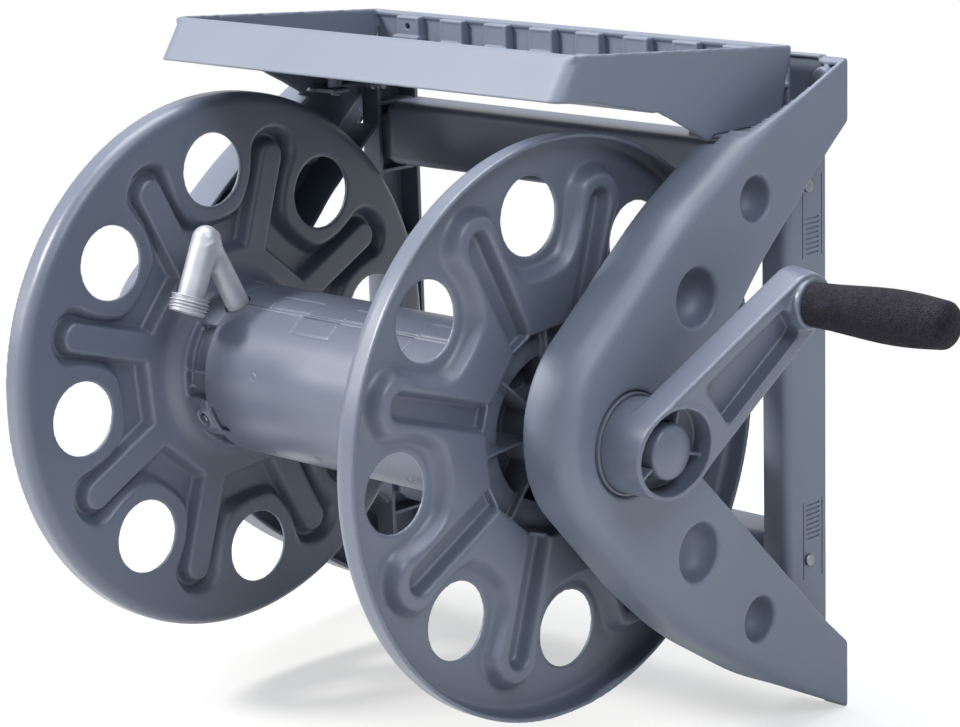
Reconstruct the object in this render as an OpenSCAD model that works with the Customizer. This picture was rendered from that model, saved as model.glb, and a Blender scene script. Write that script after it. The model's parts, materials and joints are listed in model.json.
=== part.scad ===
// Wall mounted hose reel with a tray, in millimetres.
// Origin: on the wall plane, at the centre of the four wall screws.
// +X towards the crank, -Y away from the wall, +Z up.

/* [Reel] */
// Radius of each flange
flange_r = 185; // [178:1:187]
// Distance from the middle to the hose side of each flange
flange_x = 143.4; // [138:0.2:145]
// Thickness of the moulded sheet of a flange
flange_sheet = 2.4; // [2:0.1:3]
// Height of the raised fingers of a flange
ridge_h = 10.5; // [8:0.5:12]
// Width of the turned rim of a flange
rim_w = 18.2; // [16:0.2:20]
// Edge radius where the rim turns
rim_fillet = 8; // [6:0.5:9]
// Radius of the round holes in a flange
hole_r = 24.8; // [20:0.2:26]
// Pitch radius of the round holes
hole_pitch = 136; // [133:0.5:138]
// Angle of the first hole
hole_angle = 5.5; // [0:0.5:10]
// Width of the flat ring round each hole
hole_land = 9.2; // [8:0.2:10]
// Half width of a raised finger
finger_half = 22; // [20:0.5:23]
// Reach of a raised finger from the axle
finger_reach = 164; // [160:1:166]
// Half width of the groove in a finger
groove_half = 7.5; // [6:0.5:9]
// Distance from the end of a groove to the end of its finger
groove_land = 13; // [11:0.5:16]
// Distance of the middle plate's flats from the axle
plate_flat = 80; // [74:1:84]
// Radius of the hose drum
drum_r = 57; // [55:0.5:60]
// Wall of the drum shells
drum_wall = 3; // [2.4:0.2:3.6]
// Half length of the drum shells
shell_end = 112; // [110:0.5:113]
// Angle of the seam between the drum shells
seam_angle = 117; // [110:1:120]
// Length of a tooth along the seam
tooth_l = 21; // [16:1:24]
// Height of a tooth across the seam
tooth_h = 6; // [4:0.5:8]

/* [Water path] */
// Outer radius of the fixed inlet tube
tube_r = 14; // [13:0.5:15]
// Radius of the water way in the inlet tube
bore_r = 8; // [6:0.5:9]
// Wall of the rotating barrel
barrel_wall = 5.92; // [5:0.02:7]
// Distance of the outlet riser from the middle
riser_x = 109; // [106:0.5:110]
// Angle of the outlet riser round the axle
riser_angle = 118; // [114:1:124]
// Outer radius of the outlet riser
riser_r = 8; // [7:0.5:9]
// Distance of the outlet's bend from the axle
bend_reach = 111; // [100:1:116]
// Angle of the outlet leg below the bend
leg_angle = 246.8; // [240:0.2:252]
// Outer radius of the outlet leg
leg_r = 9.25; // [8.5:0.25:10]
// Length of the outlet leg with its thread
leg_l = 50.5; // [46:0.5:54]
// Outer radius of the male hose thread
thread_r = 13.4; // [13:0.1:14]
// Length of the male hose thread
thread_l = 11; // [9:0.5:12]
// Bore radius of the inlet nut's thread
nut_thread_r = 13.2; // [13:0.1:13.6]
// Outer radius of the inlet nut
nut_r = 18; // [17:0.5:20]
// Length of the inlet nut
nut_l = 22; // [20:1:26]

/* [Crank and grip] */
// Radius of the crank's hub
crank_hub_r = 30; // [28:0.5:31]
// Distance from the axle to the grip's axis
crank_throw = 124.5; // [115:0.5:128]
// Angle of the crank at rest
crank_angle = 38.8; // [0:0.2:90]
// Reach of the crank's hub beyond the arm's outer face
crank_hub_reach = 35; // [30:1:40]
// Outward lean of the crank's arm
crank_lean = 11.5; // [8:0.5:13]
// Depth of the crank's arm
crank_depth = 21; // [18:0.5:23]
// Radius of the crank's tip
crank_tip_r = 19; // [17:0.5:21]
// Depth of the cup in the crank's hub
cup_depth = 16; // [12:1:17]
// Radius of the domed cap in the cup
cap_r = 17.5; // [15:0.5:18.5]
// Length of the foam grip
grip_l = 104; // [90:1:110]
// Radius of the foam grip at its collar
grip_collar_r = 14; // [13:0.5:15]
// Radius of the foam grip at its widest
grip_max_r = 17; // [16:0.5:18]
// Radius of the handle pin
pin_r = 4; // [3.5:0.5:4.5]

/* [Frame] */
// Distance of the axle from the wall
stand_off = 218; // [216:0.5:226]
// Height of the axle above the middle of the wall screws
axle_up = 5; // [0:0.5:8]
// Gap between a flange's rim and the open edge of a side arm
side_gap = 16.4; // [14:0.2:18]
// Width of a side arm, from its open edge to its outer face
arm_w = 37; // [34:0.5:38]
// Wall of the side arms
arm_wall = 3; // [2.4:0.2:3.4]
// Depth of the rounded edge of a side arm
arm_round_x = 15; // [12:0.5:18]
// Width of the rounded edge of a side arm
arm_round_y = 11; // [9:0.5:13]
// Distance from the open edge of an arm to the outer face of its post
post_inset = 18; // [17:0.5:19]
// Width of a post
post_w = 20; // [18:0.5:22]
// Depth of a post from the wall
post_d = 41; // [38:0.5:43]
// Wall of posts and crossbars
post_wall = 3; // [2.4:0.2:3.4]
// Bottom of the posts
post_bottom = -204; // [-206:1:-196]
// Height of the upper screws that hold an arm to its post
arm_screw_high = 168; // [166:0.5:168]
// Height of the lower screws that hold an arm to its post
arm_screw_low = -178; // [-184:1:-176]
// Shank radius of the screws
screw_r = 1.9; // [1.5:0.1:2]
// Length of a screw below its head
screw_l = 14; // [12:0.5:15]
// Radius of a screw's head
screw_head_r = 4; // [3.5:0.1:4.5]
// Height of a screw's head
screw_head_h = 2.4; // [2:0.1:3]
// Bottom edge of the upper crossbar
upper_bar_z = 114; // [110:1:118]
// Top edge of the lower crossbar
lower_bar_z = -102; // [-106:1:-98]
// Height of a crossbar
bar_h = 37; // [32:1:40]
// Front of the crossbars, from the wall
bar_front = 38.5; // [37:0.5:40]
// Distance from the open edge of an arm to its wall screws, which are then 406.4 apart
wall_screw_inset = 25.2; // [24:0.1:26]
// Spacing of the wall screws, upright
wall_screw_z = 406.4; // [400:0.4:410]
// Radius of the wall screw holes
wall_hole_r = 3.5; // [2.5:0.1:4]

/* [Tray] */
// Lap of the tray's front corner over the open edge of an arm
tray_front_lap = 3.7; // [2:0.1:5]
// Lap of the tray's back corner over the open edge of an arm
tray_back_lap = 10.9; // [9:0.1:12]
// Front of the tray's lower edge, from the wall
tray_front_y = 243.2; // [238:0.2:250]
// Back of the tray, from the wall
tray_back_y = 25.2; // [22:0.2:28]
// Height of the front lip's top
tray_front_top = 240.7; // [236:0.1:244]
// Height of the front lip's bottom
tray_front_bottom = 213.5; // [210:0.5:216]
// Height of the rim at the back
tray_back_top = 224.4; // [220:0.1:228]
// Top of the tray's floor
tray_floor = 200; // [199:0.5:203]
// Wall of the tray
tray_wall = 3; // [2.4:0.2:3.4]
// Height of the seat that carries the tray
seat_z = 176.1; // [174:0.1:178]

/* [Hidden] */
$fn = 96;
RUN = 0.08;
SEAT = 0.3;
sheet_back = flange_x + flange_sheet;
ridge_x = flange_x + ridge_h;
rim_x = flange_x + rim_w;
groove_reach = finger_reach - groove_land;
arm_inner = rim_x + side_gap;
arm_outer = arm_inner + arm_w;
post_outer = arm_inner + post_inset;
tray_front_x = arm_inner + tray_front_lap;
tray_back_x = arm_inner + tray_back_lap;
crank_face_x = arm_outer + crank_hub_reach;
finger_angle = hole_angle + 22.5;
hub_bore_r = tube_r + RUN + barrel_wall;
hub_r = hub_bore_r + 5;
hub_end_x = arm_inner - 2.5;
hub_lip_r = 34;
hub_joint_r = drum_r + 1;
foot_r = 8;
collar_in_r = drum_r - 7;
collar_end_x = 126;
spigot_r = drum_r - drum_wall - 0.1;
spigot_l = 16;
window_w = 19.5;
window_depth = 3.5;
tab_half = 6;
tab_l = 13;
drum_screw_x = shell_end + 8;
barrel_x0 = 93;
barrel_x1 = hub_end_x;
tube_end_x = riser_x + riser_r + 4;
shoulder_x = hub_end_x + 0.5;
ring_r = tube_r + RUN - 0.04;
ring_x = [tube_end_x + 8, tube_end_x + 16];
hub_plug_r = 32.2;
arm_hub_r = hub_plug_r + 4;
lip_t = 3;
neck_r = 10;
neck_end_r = 12.6;
nut_x = arm_outer + lip_t + 10;
crank_shoulder_x = hub_end_x;
pin_d = [0, crank_throw * cos(crank_angle), crank_throw * sin(crank_angle)];
tip_face_x = crank_face_x + crank_throw * tan(crank_lean);
grip_x0 = tip_face_x + 4;
core_r = 10;
dome_r = 42;
crank_screw_r = 4.2;
cap_seat_x = crank_face_x - cup_depth - 6;
key_plate = 3;
pin_end_x = grip_x0 + grip_l - 8;
pin_head_r = pin_r + 3;
crank_head_r = crank_screw_r + 2.8;
post_top = seat_z;
joint_gap = 0.2;
hole_z = wall_screw_z / 2;
hole_x = arm_inner + wall_screw_inset;
tray_skew = atan((tray_back_x - tray_front_x) / (tray_front_y - tray_back_y));
shell_blue = [0.44, 0.47, 0.54];
deep_blue = [0.36, 0.39, 0.46];
outlet_grey = [0.74, 0.75, 0.77];
foam_black = [0.09, 0.08, 0.09];
steel_grey = [0.66, 0.66, 0.68];
seal_black = [0.06, 0.06, 0.06];

// Unit vector, and a corner's inward miter for an anticlockwise outline
function unit(v) = v / norm(v);
function inward(a, b) = [-(unit(b - a))[1], (unit(b - a))[0]];
function flat2(v) = [v[0], v[1]];
function miter(p, q, r, d) =
    let (m = inward(p, q), n = inward(q, r)) q + d * (m + n) / (1 + m * n);
function turn(p, q, r) =
    let (u = unit(q - p), v = unit(r - q)) atan2(u[0] * v[1] - u[1] * v[0], u * v);

// Points of one corner, rounded with the radius that is its third value
function corner(p, q, r, radius, d) =
    let (
        bend = turn(p, q, r),
        rad = max(bend > 0 ? radius - d : radius + d, 0.05),
        vertex = miter(p, q, r, d),
        reach = rad * tan(abs(bend) / 2),
        start = vertex - unit(q - p) * reach,
        side = bend > 0 ? 1 : -1,
        centre = start + inward(p, q) * rad * side,
        steps = rad > 1.6 ? max(1, ceil(abs(bend) / 7.5)) : 1
    )
    [for (i = [0:steps])
        let (a = bend * i / steps, v = start - centre)
        centre + [v[0] * cos(a) - v[1] * sin(a), v[0] * sin(a) + v[1] * cos(a)]];

// Closed anticlockwise outline with rounded corners, drawn in by d
function outline(points, d = 0) =
    [for (i = [0:len(points) - 1])
        let (
            n = len(points),
            p = flat2(points[(i + n - 1) % n]),
            q = flat2(points[i]),
            r = flat2(points[(i + 1) % n])
        )
        each corner(p, q, r, points[i][2], d)];

// Draws a flat shape in the YZ plane and thickens it along +X from x
module along_x(x, length) {
    translate([x, 0, 0])
        rotate([90, 0, 90])
            linear_extrude(length)
                children();
}

// Moves what is drawn round the origin to the reel's axle
module at_axle() {
    translate([0, -stand_off, axle_up])
        children();
}

// Cylinder along X
module rod_x(x0, x1, r) {
    translate([x0, 0, 0])
        rotate([0, 90, 0])
            cylinder(h = x1 - x0, r = r);
}

// Ring along X
module ring_x(x0, x1, r_out, r_in) {
    difference() {
        rod_x(x0, x1, r_out);
        rod_x(x0 - 1, x1 + 1, r_in);
    }
}

// Bar with round ends, from the axle to reach
module bar_2d(half, reach) {
    translate([0, -half])
        square([reach - half, 2 * half]);
    translate([reach - half, 0])
        circle(half);
}

module eight(angle) {
    for (k = [0:7])
        rotate(angle + 45 * k)
            children();
}

// Raised region of a flange, drawn in by the wall
module ridge_2d(wall) {
    difference() {
        union() {
            circle(hole_pitch - hole_r);
            eight(finger_angle)
                bar_2d(finger_half - wall, finger_reach - wall);
        }
        eight(finger_angle)
            bar_2d(groove_half + wall, groove_reach + wall);
        eight(hole_angle)
            translate([hole_pitch, 0])
                circle(hole_r + hole_land + wall);
        rotate(finger_angle)
            circle((plate_flat - flange_sheet + wall) / cos(22.5), $fn = 8);
    }
}

// Turns a profile of radius and place along X about the axle
module turned() {
    rotate([0, 90, 0])
        rotate_extrude()
            children();
}

// Turned rim of a flange, and the outer part of the fillet at its collar
module flange_turned() {
    turned() {
        translate([flange_r - flange_sheet, flange_x + rim_fillet])
            square([flange_sheet, rim_w - rim_fillet]);
        intersection() {
            translate([flange_r - rim_fillet, flange_x + rim_fillet])
                difference() {
                    circle(rim_fillet);
                    circle(rim_fillet - flange_sheet);
                }
            translate([flange_r - rim_fillet, flange_x])
                square(rim_fillet);
        }
        collar_fillet_2d(hub_joint_r, drum_r + foot_r);
    }
}

// Part of the fillet between the collar and the flange, from one radius to another
module collar_fillet_2d(from, to) {
    difference() {
        translate([from, sheet_back - foot_r - 1])
            square([to - from, foot_r]);
        translate([drum_r + foot_r, sheet_back - foot_r - 2.4])
            circle(foot_r);
    }
}

// Collar, spigot, web and tube of a hub, turned about the axle
module hub_turned() {
    turned() {
        translate([collar_in_r, shell_end + 0.2])
            square([drum_r - collar_in_r, sheet_back - shell_end - 0.2]);
        translate([drum_r - 1, flange_x])
            square([hub_joint_r - drum_r + 1, flange_sheet]);
        translate([collar_in_r, shell_end - spigot_l])
            square([spigot_r - collar_in_r, spigot_l + 2]);
        collar_fillet_2d(drum_r - 1, hub_joint_r);
        translate([hub_bore_r, collar_end_x])
            square([collar_in_r + 1 - hub_bore_r, lip_t]);
        translate([hub_bore_r, collar_end_x])
            square([hub_r - hub_bore_r, hub_end_x - collar_end_x]);
        translate([hub_bore_r, hub_end_x - lip_t])
            square([hub_lip_r - hub_bore_r, lip_t]);
    }
}

// Pocket in the flange's collar between two of its ribs
module collar_window() {
    translate([shell_end + window_w / 2 + 0.2, 0, drum_r])
        cube([window_w - 3, 14.5, 2 * window_depth], center = true);
}

// Flange on the +X side, seated round its hub
module flange() {
    difference() {
        union() {
            along_x(flange_x, flange_sheet)
                difference() {
                    circle(flange_r - rim_fillet);
                    circle(hub_joint_r);
                    ridge_2d(flange_sheet);
                }
            along_x(flange_x, ridge_h + flange_sheet)
                difference() {
                    ridge_2d(0);
                    ridge_2d(flange_sheet);
                }
            along_x(ridge_x, flange_sheet)
                ridge_2d(0);
            flange_turned();
        }
        along_x(flange_x - 1, flange_sheet + 2)
            eight(hole_angle)
                translate([hole_pitch, 0])
                    circle(hole_r);
    }
}

// Hub on the +X side: it carries the drum shells and the flange
module hub(outlet_side) {
    difference() {
        union() {
            hub_turned();
            along_x(collar_end_x, ridge_x - collar_end_x)
                difference() {
                    eight(finger_angle)
                        translate([hub_r - 1, -flange_sheet / 2])
                            square([collar_in_r + 2 - hub_r, flange_sheet]);
                    circle(hub_bore_r);
                }
            if (!outlet_side)
                ring_x(collar_end_x - key_plate, collar_end_x + lip_t, hub_bore_r + 1, crank_screw_r);
        }
        for (k = [0:17])
            if ((k + 17) % 9 != 0)
                rotate([seam_angle + 90 + 20 * k + 10, 0, 0])
                    rotate([-90, 0, 0])
                        collar_window();
        for (a = [90, 270])
            rotate([seam_angle + a, 0, 0])
                tab_space();
        if (outlet_side)
            riser_notch();
        else
            crank_keys(0.1);
    }
}

// Keys of the crank's spigot in the flange's hub
module crank_keys(gap) {
    translate([collar_end_x + lip_t + 4 - gap, -hub_bore_r - 3 - gap, -3 - gap])
        cube([30 + 2 * gap, 2 * hub_bore_r + 6 + 2 * gap, 6 + 2 * gap]);
}

// Space of a drum shell's tab in the collar, and the hole of its screw
module tab_space() {
    translate([shell_end - 1, drum_r - drum_wall - 0.1, -tab_half - 0.1])
        cube([tab_l + 1.2, drum_wall + 2, 2 * tab_half + 0.2]);
    translate([drum_screw_x, 0, 0])
        rotate([-90, 0, 0])
            cylinder(h = drum_r, r = 1.6);
}

// Arch shaped opening for the outlet riser, on the -X side mirrored to +X
module riser_notch() {
    rotate([riser_angle, 0, 0])
        translate([riser_x, collar_in_r - 12, 0])
            rotate([-90, 0, 0])
                cylinder(h = 30, r = riser_r + 1);
}

module left_flange() {
    color(shell_blue)
        at_axle()
            mirror([1, 0, 0])
                flange();
}

module right_flange() {
    color(shell_blue)
        at_axle()
            flange();
}

module left_hub() {
    color(deep_blue)
        at_axle()
            mirror([1, 0, 0])
                hub(true);
}

module right_hub() {
    color(deep_blue)
        at_axle()
            hub(false);
}

// One side of the toothed seam: u runs along X, v across the seam
function seam_line(gap) =
    [for (k = [-2:2])
        let (x = k * 2 * tooth_l, h = tooth_h)
        each [[x - tooth_l / 2 - 2, gap], [x - tooth_l / 2 + 2, h + gap],
            [x + tooth_l / 2 - 2, h + gap], [x + tooth_l / 2 + 2, gap]]];

// Half space on one side of the seam plane, seen along the seam
module seam_side(side) {
    far = 2 * drum_r;
    long = shell_end + 40;
    points = concat([[-long, side > 0 ? 0.1 : -0.1]], seam_line(side > 0 ? 0.1 : -0.1),
        [[long, side > 0 ? 0.1 : -0.1], [long, side * far], [-long, side * far]]);
    rotate([seam_angle + 90, 0, 0])
        translate([0, 0, -far])
            linear_extrude(2 * far)
                polygon(points);
}

module drum_shell(side) {
    difference() {
        union() {
            intersection() {
                union() {
                    ring_x(-shell_end, shell_end, drum_r, drum_r - drum_wall);
                    for (x = [-60, -20, 20, 60])
                        ring_x(x - 1.2, x + 1.2, drum_r - 1, drum_r - 9);
                }
                seam_side(side);
            }
            for (m = [0, 1])
                mirror([m, 0, 0])
                    intersection() {
                        ring_x(shell_end - 0.5, shell_end + tab_l, drum_r, drum_r - drum_wall);
                        rotate([seam_angle + 90 + (side > 0 ? 0 : 180), 0, 0])
                            translate([0, drum_r - drum_wall - 4, -tab_half])
                                cube([2 * shell_end, 12, 2 * tab_half]);
                    }
        }
        mirror([1, 0, 0])
            riser_notch();
        for (m = [0, 1])
            mirror([m, 0, 0])
                for (a = [90, 270])
                    rotate([seam_angle + a, 0, 0])
                        translate([drum_screw_x, 0, 0])
                            rotate([-90, 0, 0])
                                cylinder(h = drum_r + 1, r = screw_r + 0.2);
    }
}

module front_drum_shell() {
    color(deep_blue)
        at_axle()
            drum_shell(1);
}

module rear_drum_shell() {
    color(deep_blue)
        at_axle()
            drum_shell(-1);
}

// Pan head screw with its head at the origin and its shank along -Z
module screw(shank_r, shank_l, head_r, head_h) {
    cylinder(h = head_h, r = head_r);
    translate([0, 0, -shank_l])
        cylinder(h = shank_l + 0.01, r = shank_r);
}

module drum_screws() {
    color(steel_grey)
        at_axle()
            for (m = [0, 1])
                mirror([m, 0, 0])
                    for (a = [90, 270])
                        rotate([seam_angle + a, 0, 0])
                            translate([drum_screw_x, drum_r, 0])
                                rotate([-90, 0, 0])
                                    screw(1.6, 6.5, 3.4, 1.8);
}

// Rotating barrel, riser, bend, leg and male thread in one moulding
module outlet_gooseneck() {
    bend = [bend_reach * cos(riser_angle), bend_reach * sin(riser_angle)];
    color(outlet_grey)
        at_axle()
            difference() {
                union() {
                    rod_x(-barrel_x1, -barrel_x0, hub_bore_r);
                    translate([-riser_x, 0, 0])
                        rotate([riser_angle - 90, 0, 0])
                            cylinder(h = bend_reach, r = riser_r);
                    translate([-riser_x, bend[0], bend[1]])
                        sphere(leg_r);
                    translate([-riser_x, bend[0], bend[1]])
                        rotate([leg_angle - 90, 0, 0]) {
                            cylinder(h = leg_l - thread_l, r = leg_r);
                            translate([0, 0, leg_l - thread_l])
                                cylinder(h = thread_l, r = thread_r);
                        }
                }
                rod_x(-barrel_x1 - 1, -barrel_x0 - 4, tube_r + RUN);
                translate([-riser_x, 0, 0])
                    rotate([riser_angle - 90, 0, 0])
                        cylinder(h = bend_reach, r = riser_r - 3);
                translate([-riser_x, bend[0], bend[1]])
                    rotate([leg_angle - 90, 0, 0])
                        cylinder(h = leg_l + 1, r = leg_r - 3);
            }
}

// Fixed tube: water way, seal grooves, plug in the arm, neck for the nut
module inlet_tube() {
    color(outlet_grey)
        at_axle()
            mirror([1, 0, 0])
                difference() {
                    union() {
                        rod_x(tube_end_x, shoulder_x, tube_r);
                        rod_x(shoulder_x, arm_inner, hub_bore_r);
                        rod_x(arm_inner, arm_outer + lip_t, hub_plug_r);
                        rod_x(arm_outer, arm_outer + lip_t, arm_hub_r + 4);
                        rod_x(arm_outer + lip_t, nut_x - 1, tube_r);
                        rod_x(nut_x - 1, nut_x + 6, neck_r);
                        rod_x(nut_x + 3 + SEAT, nut_x + 6, neck_end_r);
                    }
                    rod_x(tube_end_x - 1, nut_x + 7, bore_r);
                    for (x = ring_x)
                        ring_x(x - 1.6, x + 1.6, tube_r + 1, tube_r - 2.2);
                    for (a = [45, 225])
                        inlet_screw_place(a)
                            translate([0, 0, -20])
                                cylinder(h = 30, r = 2);
                    for (a = [0:60:300])
                        rotate([a, 0, 0])
                            translate([arm_inner - 1, 18.5, -4])
                                cube([arm_outer - arm_inner - 2, 9.5, 8]);
                }
}

// Head seat of an inlet screw, its shank along -Z
module inlet_screw_place(a) {
    rotate([a, 0, 0])
        translate([arm_outer + lip_t, arm_hub_r + 0.5, 0])
            rotate([0, 90, 0])
                children();
}

module inlet_screws() {
    color(steel_grey)
        at_axle()
            mirror([1, 0, 0])
                for (a = [45, 225])
                    inlet_screw_place(a)
                        screw(screw_r, screw_l, screw_head_r - 0.6, screw_head_h - 0.4);
}

module o_rings() {
    color(seal_black)
        at_axle()
            mirror([1, 0, 0])
                for (x = ring_x)
                    ring_x(x - 1.4, x + 1.4, ring_r, tube_r - 2.15);
}

// Swivelling coupling nut with finger lugs
module inlet_nut() {
    color(outlet_grey)
        at_axle()
            mirror([1, 0, 0])
                difference() {
                    union() {
                        rod_x(nut_x, nut_x + nut_l, nut_r);
                        for (a = [0:45:315])
                            rotate([a, 0, 0])
                                translate([nut_x + 1, nut_r - 1, -2])
                                    cube([nut_l - 5, 3, 4]);
                    }
                    rod_x(nut_x - 1, nut_x + nut_l, neck_r + RUN);
                    rod_x(nut_x + 3, nut_x + 9, nut_thread_r + 0.6);
                    rod_x(nut_x + 3, nut_x + nut_l + 1, nut_thread_r);
                }
}

module inlet_washer() {
    color(seal_black)
        at_axle()
            mirror([1, 0, 0])
                ring_x(nut_x + 6.1, nut_x + 9, nut_thread_r + SEAT, bore_r - 1);
}

// Plain bearing of the crank's hub, with a lip inside the arm
module crank_bushing() {
    color(seal_black)
        at_axle() {
            ring_x(arm_inner, arm_outer + 1, hub_plug_r, crank_hub_r + RUN);
            ring_x(arm_inner - 2, arm_inner, arm_hub_r, crank_hub_r + RUN);
        }
}

// Moves a shape drawn in the crank's own leaning face plane into place
module crank_plane() {
    translate([crank_face_x, 0, 0])
        rotate([crank_angle, 0, 0])
            rotate([0, 0, -crank_lean])
                rotate([90, 0, 90])
                    children();
}

// Tapered outline of the crank's arm, drawn in by the wall
module crank_arm_2d(wall, from, to) {
    reach = crank_throw / cos(crank_lean);
    drop = asin((crank_hub_r - crank_tip_r) / reach);
    r0 = crank_hub_r + (crank_tip_r - crank_hub_r) * from / reach - wall;
    r1 = crank_hub_r + (crank_tip_r - crank_hub_r) * to / reach - wall;
    translate([from, 0])
        circle(r0);
    translate([to, 0])
        circle(r1);
    polygon([[from + r0 * sin(drop), r0 * cos(drop)], [from + r0 * sin(drop), -r0 * cos(drop)],
        [to + r1 * sin(drop), -r1 * cos(drop)], [to + r1 * sin(drop), r1 * cos(drop)]]);
}

// Hub, spigot, leaning arm with its pocket, cup and three vanes
module crank() {
    reach = crank_throw / cos(crank_lean);
    color(shell_blue)
        at_axle()
            difference() {
                union() {
                    difference() {
                        union() {
                            rod_x(crank_shoulder_x, crank_face_x + 6, crank_hub_r);
                            crank_plane()
                                translate([0, 0, -crank_depth])
                                    linear_extrude(crank_depth)
                                        crank_arm_2d(0, 0, reach);
                        }
                        crank_plane()
                            linear_extrude(40)
                                square(4 * crank_hub_r, center = true);
                        crank_plane()
                            translate([0, 0, -crank_depth + 3])
                                linear_extrude(crank_depth)
                                    crank_arm_2d(8, 0.42 * reach, 0.78 * reach);
                        crank_plane()
                            translate([0, 0, -cup_depth])
                                linear_extrude(cup_depth + 1)
                                    circle(crank_hub_r - 5);
                    }
                    rod_x(collar_end_x + lip_t, crank_shoulder_x + 1, hub_bore_r);
                    crank_keys(0);
                    for (a = [60, 180, 300])
                        rotate([a, 0, 0])
                            translate([cap_seat_x, cap_r - 1, -1.5])
                                cube([cup_depth, crank_hub_r - cap_r - 2, 3]);
                    translate(pin_d)
                        rod_x(tip_face_x - 4, grip_x0 - SEAT, 16);
                }
                rod_x(collar_end_x, crank_face_x, crank_screw_r);
                rod_x(cap_seat_x, crank_face_x + 20, cap_r + 0.1);
                ring_x(collar_end_x + 1, cap_seat_x - 3, hub_bore_r - 4, crank_screw_r + 5);
                ring_x(crank_shoulder_x + 4, cap_seat_x - 3, crank_hub_r - 4, crank_screw_r + 5);
                translate(pin_d)
                    rod_x(tip_face_x - 60, grip_x0 + 1, pin_r);
                translate(pin_d)
                    rod_x(tip_face_x - 60, tip_face_x - crank_depth + 9, 8.2);
            }
}

// Cap that closes the cup over the crank screw
module crank_cap() {
    dome_x = crank_face_x - cup_depth;
    color(shell_blue)
        at_axle()
            difference() {
                union() {
                    rod_x(cap_seat_x, dome_x + 9, cap_r);
                    translate([dome_x + 9, 0, 0])
                        rotate([0, 90, 0])
                            rotate_extrude()
                                intersection() {
                                    translate([0, 3 - dome_r])
                                        circle(dome_r);
                                    translate([0, -1])
                                        square([cap_r - 0.8, 5]);
                                }
                }
                rod_x(cap_seat_x - 1, dome_x + 6, cap_r - 2.5);
            }
}

module crank_screw() {
    head_x = cap_seat_x + 2;
    color(steel_grey)
        at_axle()
            translate([head_x, 0, 0])
                rotate([0, 90, 0])
                    screw(crank_screw_r, head_x - collar_end_x + key_plate - 1, crank_head_r, 4);
}

module crank_washer() {
    color(steel_grey)
        at_axle()
            ring_x(cap_seat_x, cap_seat_x + 2, 11, crank_screw_r);
}

module handle_pin() {
    color(steel_grey)
        at_axle()
            translate(pin_d) {
                rod_x(tip_face_x - crank_depth + 1, pin_end_x, pin_r);
                rod_x(pin_end_x - 4, pin_end_x, pin_head_r);
            }
}

module handle_nut() {
    x = tip_face_x - crank_depth + 9;
    color(steel_grey)
        at_axle()
            translate(pin_d)
                difference() {
                    translate([x - 6, 0, 0])
                        rotate([0, 90, 0])
                            cylinder(h = 6, r = 7.5, $fn = 6);
                    rod_x(x - 7, x + 1, pin_r);
                }
}

// Plastic sleeve that turns on the pin under the foam
module grip_core() {
    color(deep_blue)
        at_axle()
            translate(pin_d)
                ring_x(grip_x0, pin_end_x - 4 - SEAT, core_r, pin_r + RUN);
}

// Foam sleeve with a belly and a round closed end
module foam_grip() {
    belly = 0.6 * grip_l;
    end_r = grip_collar_r + 0.8;
    color(foam_black)
        at_axle()
            translate(pin_d)
                translate([grip_x0, 0, 0])
                    rotate([0, 90, 0])
                        difference() {
                            rotate_extrude()
                                polygon(concat([[0, 0], [grip_collar_r - 1, 0]],
                                    [for (i = [0:8])
                                        let (t = i / 8)
                                        [grip_collar_r + (grip_max_r - grip_collar_r)
                                            * (1 - cos(180 * t)) / 2, 1 + t * (belly - 1)]],
                                    [for (i = [1:5])
                                        let (t = i / 5)
                                        [grip_max_r - (grip_max_r - end_r) * (1 - cos(90 * t)),
                                            belly + t * (grip_l - 8 - belly)]],
                                    [for (i = [1:6])
                                        [end_r * cos(15 * i), grip_l - 8 + 8 * sin(15 * i)]]));
                            translate([0, 0, -1])
                                cylinder(h = grip_l - 10.9, r = core_r);
                            translate([0, 0, grip_l - 12.5])
                                cylinder(h = 5, r = pin_head_r + SEAT);
                        }
}

// Channel against the wall, open towards the middle, on the +X side
module post() {
    h = post_top - post_bottom;
    x0 = post_outer - post_w;
    difference() {
        translate([x0, -post_d, post_bottom])
            cube([post_w, post_d, h]);
        difference() {
            translate([x0 - 1, -post_d + post_wall, post_bottom + post_wall])
                cube([post_w - post_wall + 1, post_d - 2 * post_wall, h - 2 * post_wall]);
            for (z = post_ribs)
                translate([x0 + 2, -post_d, z])
                    cube([post_w, post_d, 2.4]);
        }
        for (s = [upper_bar_z + bar_h / 2, lower_bar_z - bar_h / 2])
            post_screw_place(s)
                translate([0, 0, -30])
                    cylinder(h = 40, r = screw_r + 0.2);
        for (s = [arm_screw_low, arm_screw_high])
            arm_screw_place(s)
                translate([0, 0, -10])
                    cylinder(h = 20, r = screw_r + 0.2);
        for (m = [0, 1])
            translate([0, 0, axle_up * (1 - m)])
                mirror([0, 0, m])
                    latch_slots();
        translate([x0 - 1, -post_d, post_bottom - 1])
            difference() {
                translate([post_w - 6 + 1, 0, 0])
                    cube([8, 6, h + 2]);
                translate([post_w - 6 + 1, 6, -1])
                    cylinder(h = h + 4, r = 6);
            }
    }
}

post_ribs = [lower_bar_z - bar_h - 14, lower_bar_z + 6, lower_bar_z + 60,
    upper_bar_z - 60, upper_bar_z - 8, upper_bar_z + bar_h + 5];

// Slots that free a latch tongue in the post's outer side, and its finger grooves
module latch_slots() {
    for (y = [-24.5, -4.5])
        translate([post_outer - post_wall - 1, y, 80])
            cube([post_wall + 2, 1, 54]);
    for (k = [0:7])
        translate([post_outer - 0.8, -21, 82 + 3.3 * k])
            cube([2, 14, 1.5]);
}

// Seat of a screw through the post into a crossbar, head outside
module post_screw_place(z) {
    translate([post_outer, -bar_front / 2, z])
        rotate([0, 90, 0])
            children();
}

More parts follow.
